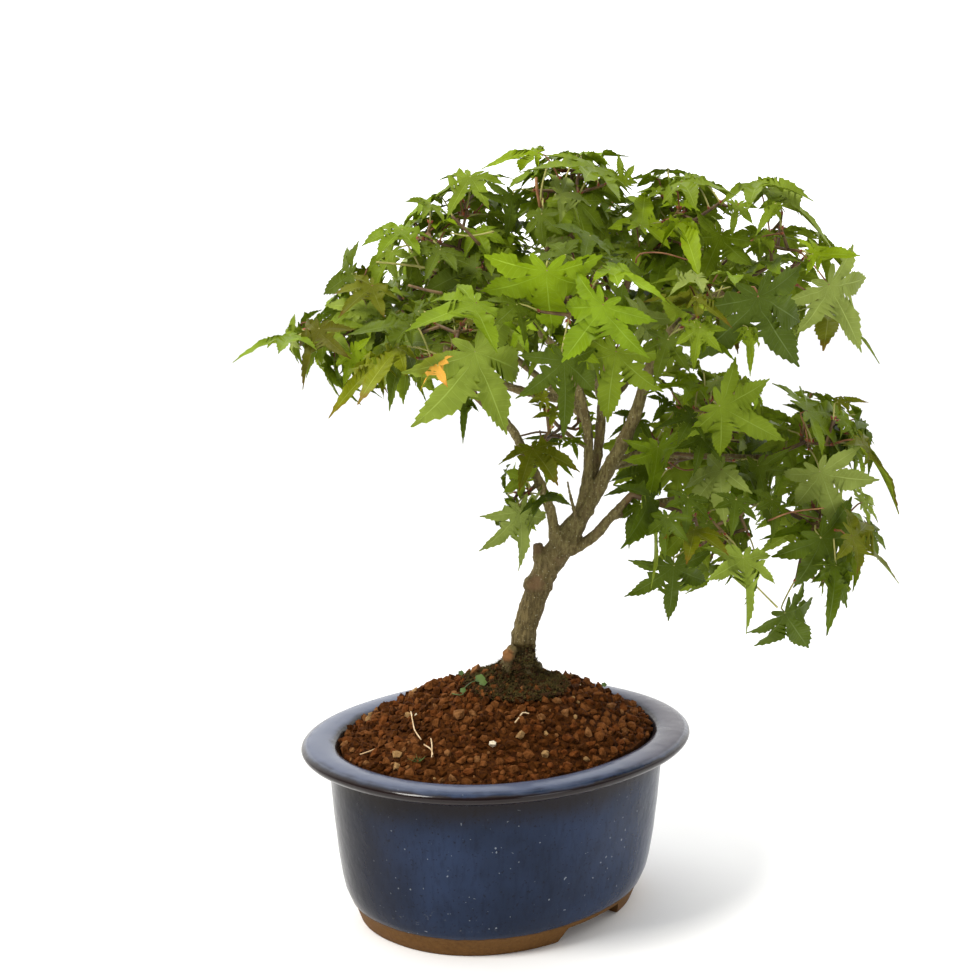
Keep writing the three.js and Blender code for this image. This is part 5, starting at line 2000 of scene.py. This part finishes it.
# Bare stalks and dead twigs at the front, as pixels from root to end, with the finish and the radius
BARE_STALKS = [
    (((436, 270), (415, 266), (376, 262)), 1, 0.5),
    (((420, 268), (412, 252), (402, 238)), 1, 0.42),
    (((440, 293), (422, 289), (408, 285)), 0, 0.6),
    (((492, 232), (470, 236), (450, 233)), 1, 0.36),
    (((478, 243), (462, 226), (452, 216)), 0, 0.65),
    (((540, 205), (542, 186), (547, 167)), 1, 0.42),
    (((540, 205), (537, 190), (536, 177)), 2, 0.7),
    (((636, 262), (640, 254), (662, 253), (688, 260)), 2, 0.3),
    (((640, 254), (638, 236), (634, 212)), 2, 0.3),
    (((770, 520), (792, 512), (824, 508)), 2, 0.32),
    (((792, 512), (806, 516), (822, 520)), 2, 0.3),
    (((560, 436), (540, 432), (520, 436)), 0, 0.5),
    (((540, 432), (543, 446), (546, 458)), 0, 0.42),
    (((776, 606), (762, 592), (748, 578)), 1, 0.4),
    (((668, 462), (684, 470), (700, 468)), 2, 0.36),
]


def make_bare_stalks(finishes):
    """Stalks whose leaves have gone, just inside the near side of a mass."""
    heap = Heap()
    for route, slot, radius in BARE_STALKS:
        way = unit(sight_way(route[0]))
        far = nearest_mass(way)[1] + 2
        points = [EYE + unit(sight_way(pixel)) * far for pixel in route]
        root = points[0] + way * 8
        line = smooth_line([root, *points], 1.6)
        heap.add(*tube(line, np.linspace(radius * 1.15, radius * 0.8, len(line)), 7), slot)
    stalks = heap.piece("bare_stalks", finishes)
    hand_over(stalks, "bark", "front_foliage")


def add_buds(heap, root, way):
    """Two small pointed buds where a stalk leaves its twig."""
    side = unit(np.cross(way, (0.2, 0.4, 0.9)))
    for turn in (1, -1):
        tip_way = unit(way * 0.8 + side * turn * 0.6)
        line = np.array([root, root + tip_way * 0.9, root + tip_way * 2.0])
        heap.add(*tube(line, [0.5, 0.55, 0.06], 5), 3)


# Assembly
set_camera()
set_light()
at_rest()
bpy.ops.mesh.primitive_plane_add(size=12, location=(0, 0, 0))
floor = bpy.context.object
floor.name = "floor"
floor.data.materials.append(floor_finish())

make_pot(glaze_finish())
soil_dark = grain_finish("soil_dark", paint(42, 17, 2), paint(84, 46, 12))
bed = make_bed(soil_dark)
bed_corners = [vertex.co.copy() for vertex in bed.data.vertices]
bed_surface = BVHTree.FromPolygons(bed_corners, [face.vertices[:] for face in bed.data.polygons])
grain_finishes = [
    soil_dark,
    grain_finish("soil_brown", paint(80, 44, 14), paint(124, 76, 38)),
    grain_finish("soil_red", paint(66, 30, 5), paint(116, 66, 28)),
    grain_finish("soil_rust", paint(98, 60, 28), paint(144, 100, 60)),
    grain_finish("soil_tan", paint(120, 90, 56), paint(176, 140, 92)),
    grain_finish("soil_white", paint(206, 190, 160), paint(240, 230, 204)),
]
make_grains(bed_surface, grain_finishes)
crumb = grain_finish("crumb", paint(46, 28, 16), paint(74, 50, 28))
make_moss(bed_surface, [crumb, soil_dark, moss_finish()])
straw = twig_finish("rootlet", paint(196, 164, 120), paint(226, 200, 160))
weed = twig_finish("weed", paint(54, 76, 28), paint(82, 104, 42))
make_litter(bed_surface, [straw, weed])
make_bark(bark_finish())

twig_finishes = [
    twig_finish("twig", paint(82, 60, 34), paint(112, 88, 52)),
    twig_finish("petiole_green", paint(150, 150, 76), paint(176, 168, 96)),
    twig_finish("petiole_red", paint(112, 66, 36), paint(146, 104, 60)),
    twig_finish("bud", paint(110, 48, 34), paint(150, 74, 46)),
]
leaf_finishes = {name: leaf_finish("leaf_" + name, *row) for name, row in TINTS.items()}
leaf_finishes["underside"] = leaf_finish("leaf_underside", *UNDERSIDE, shine=0.6)
blade_shape = Blade()
rng = np.random.default_rng(2024)
crown = grow_crown()
for grown in crown.values():
    make_leaves(grown, blade_shape, leaf_finishes, rng)
    make_twigs(grown, twig_finishes, rng)

make_bare_stalks(twig_finishes)
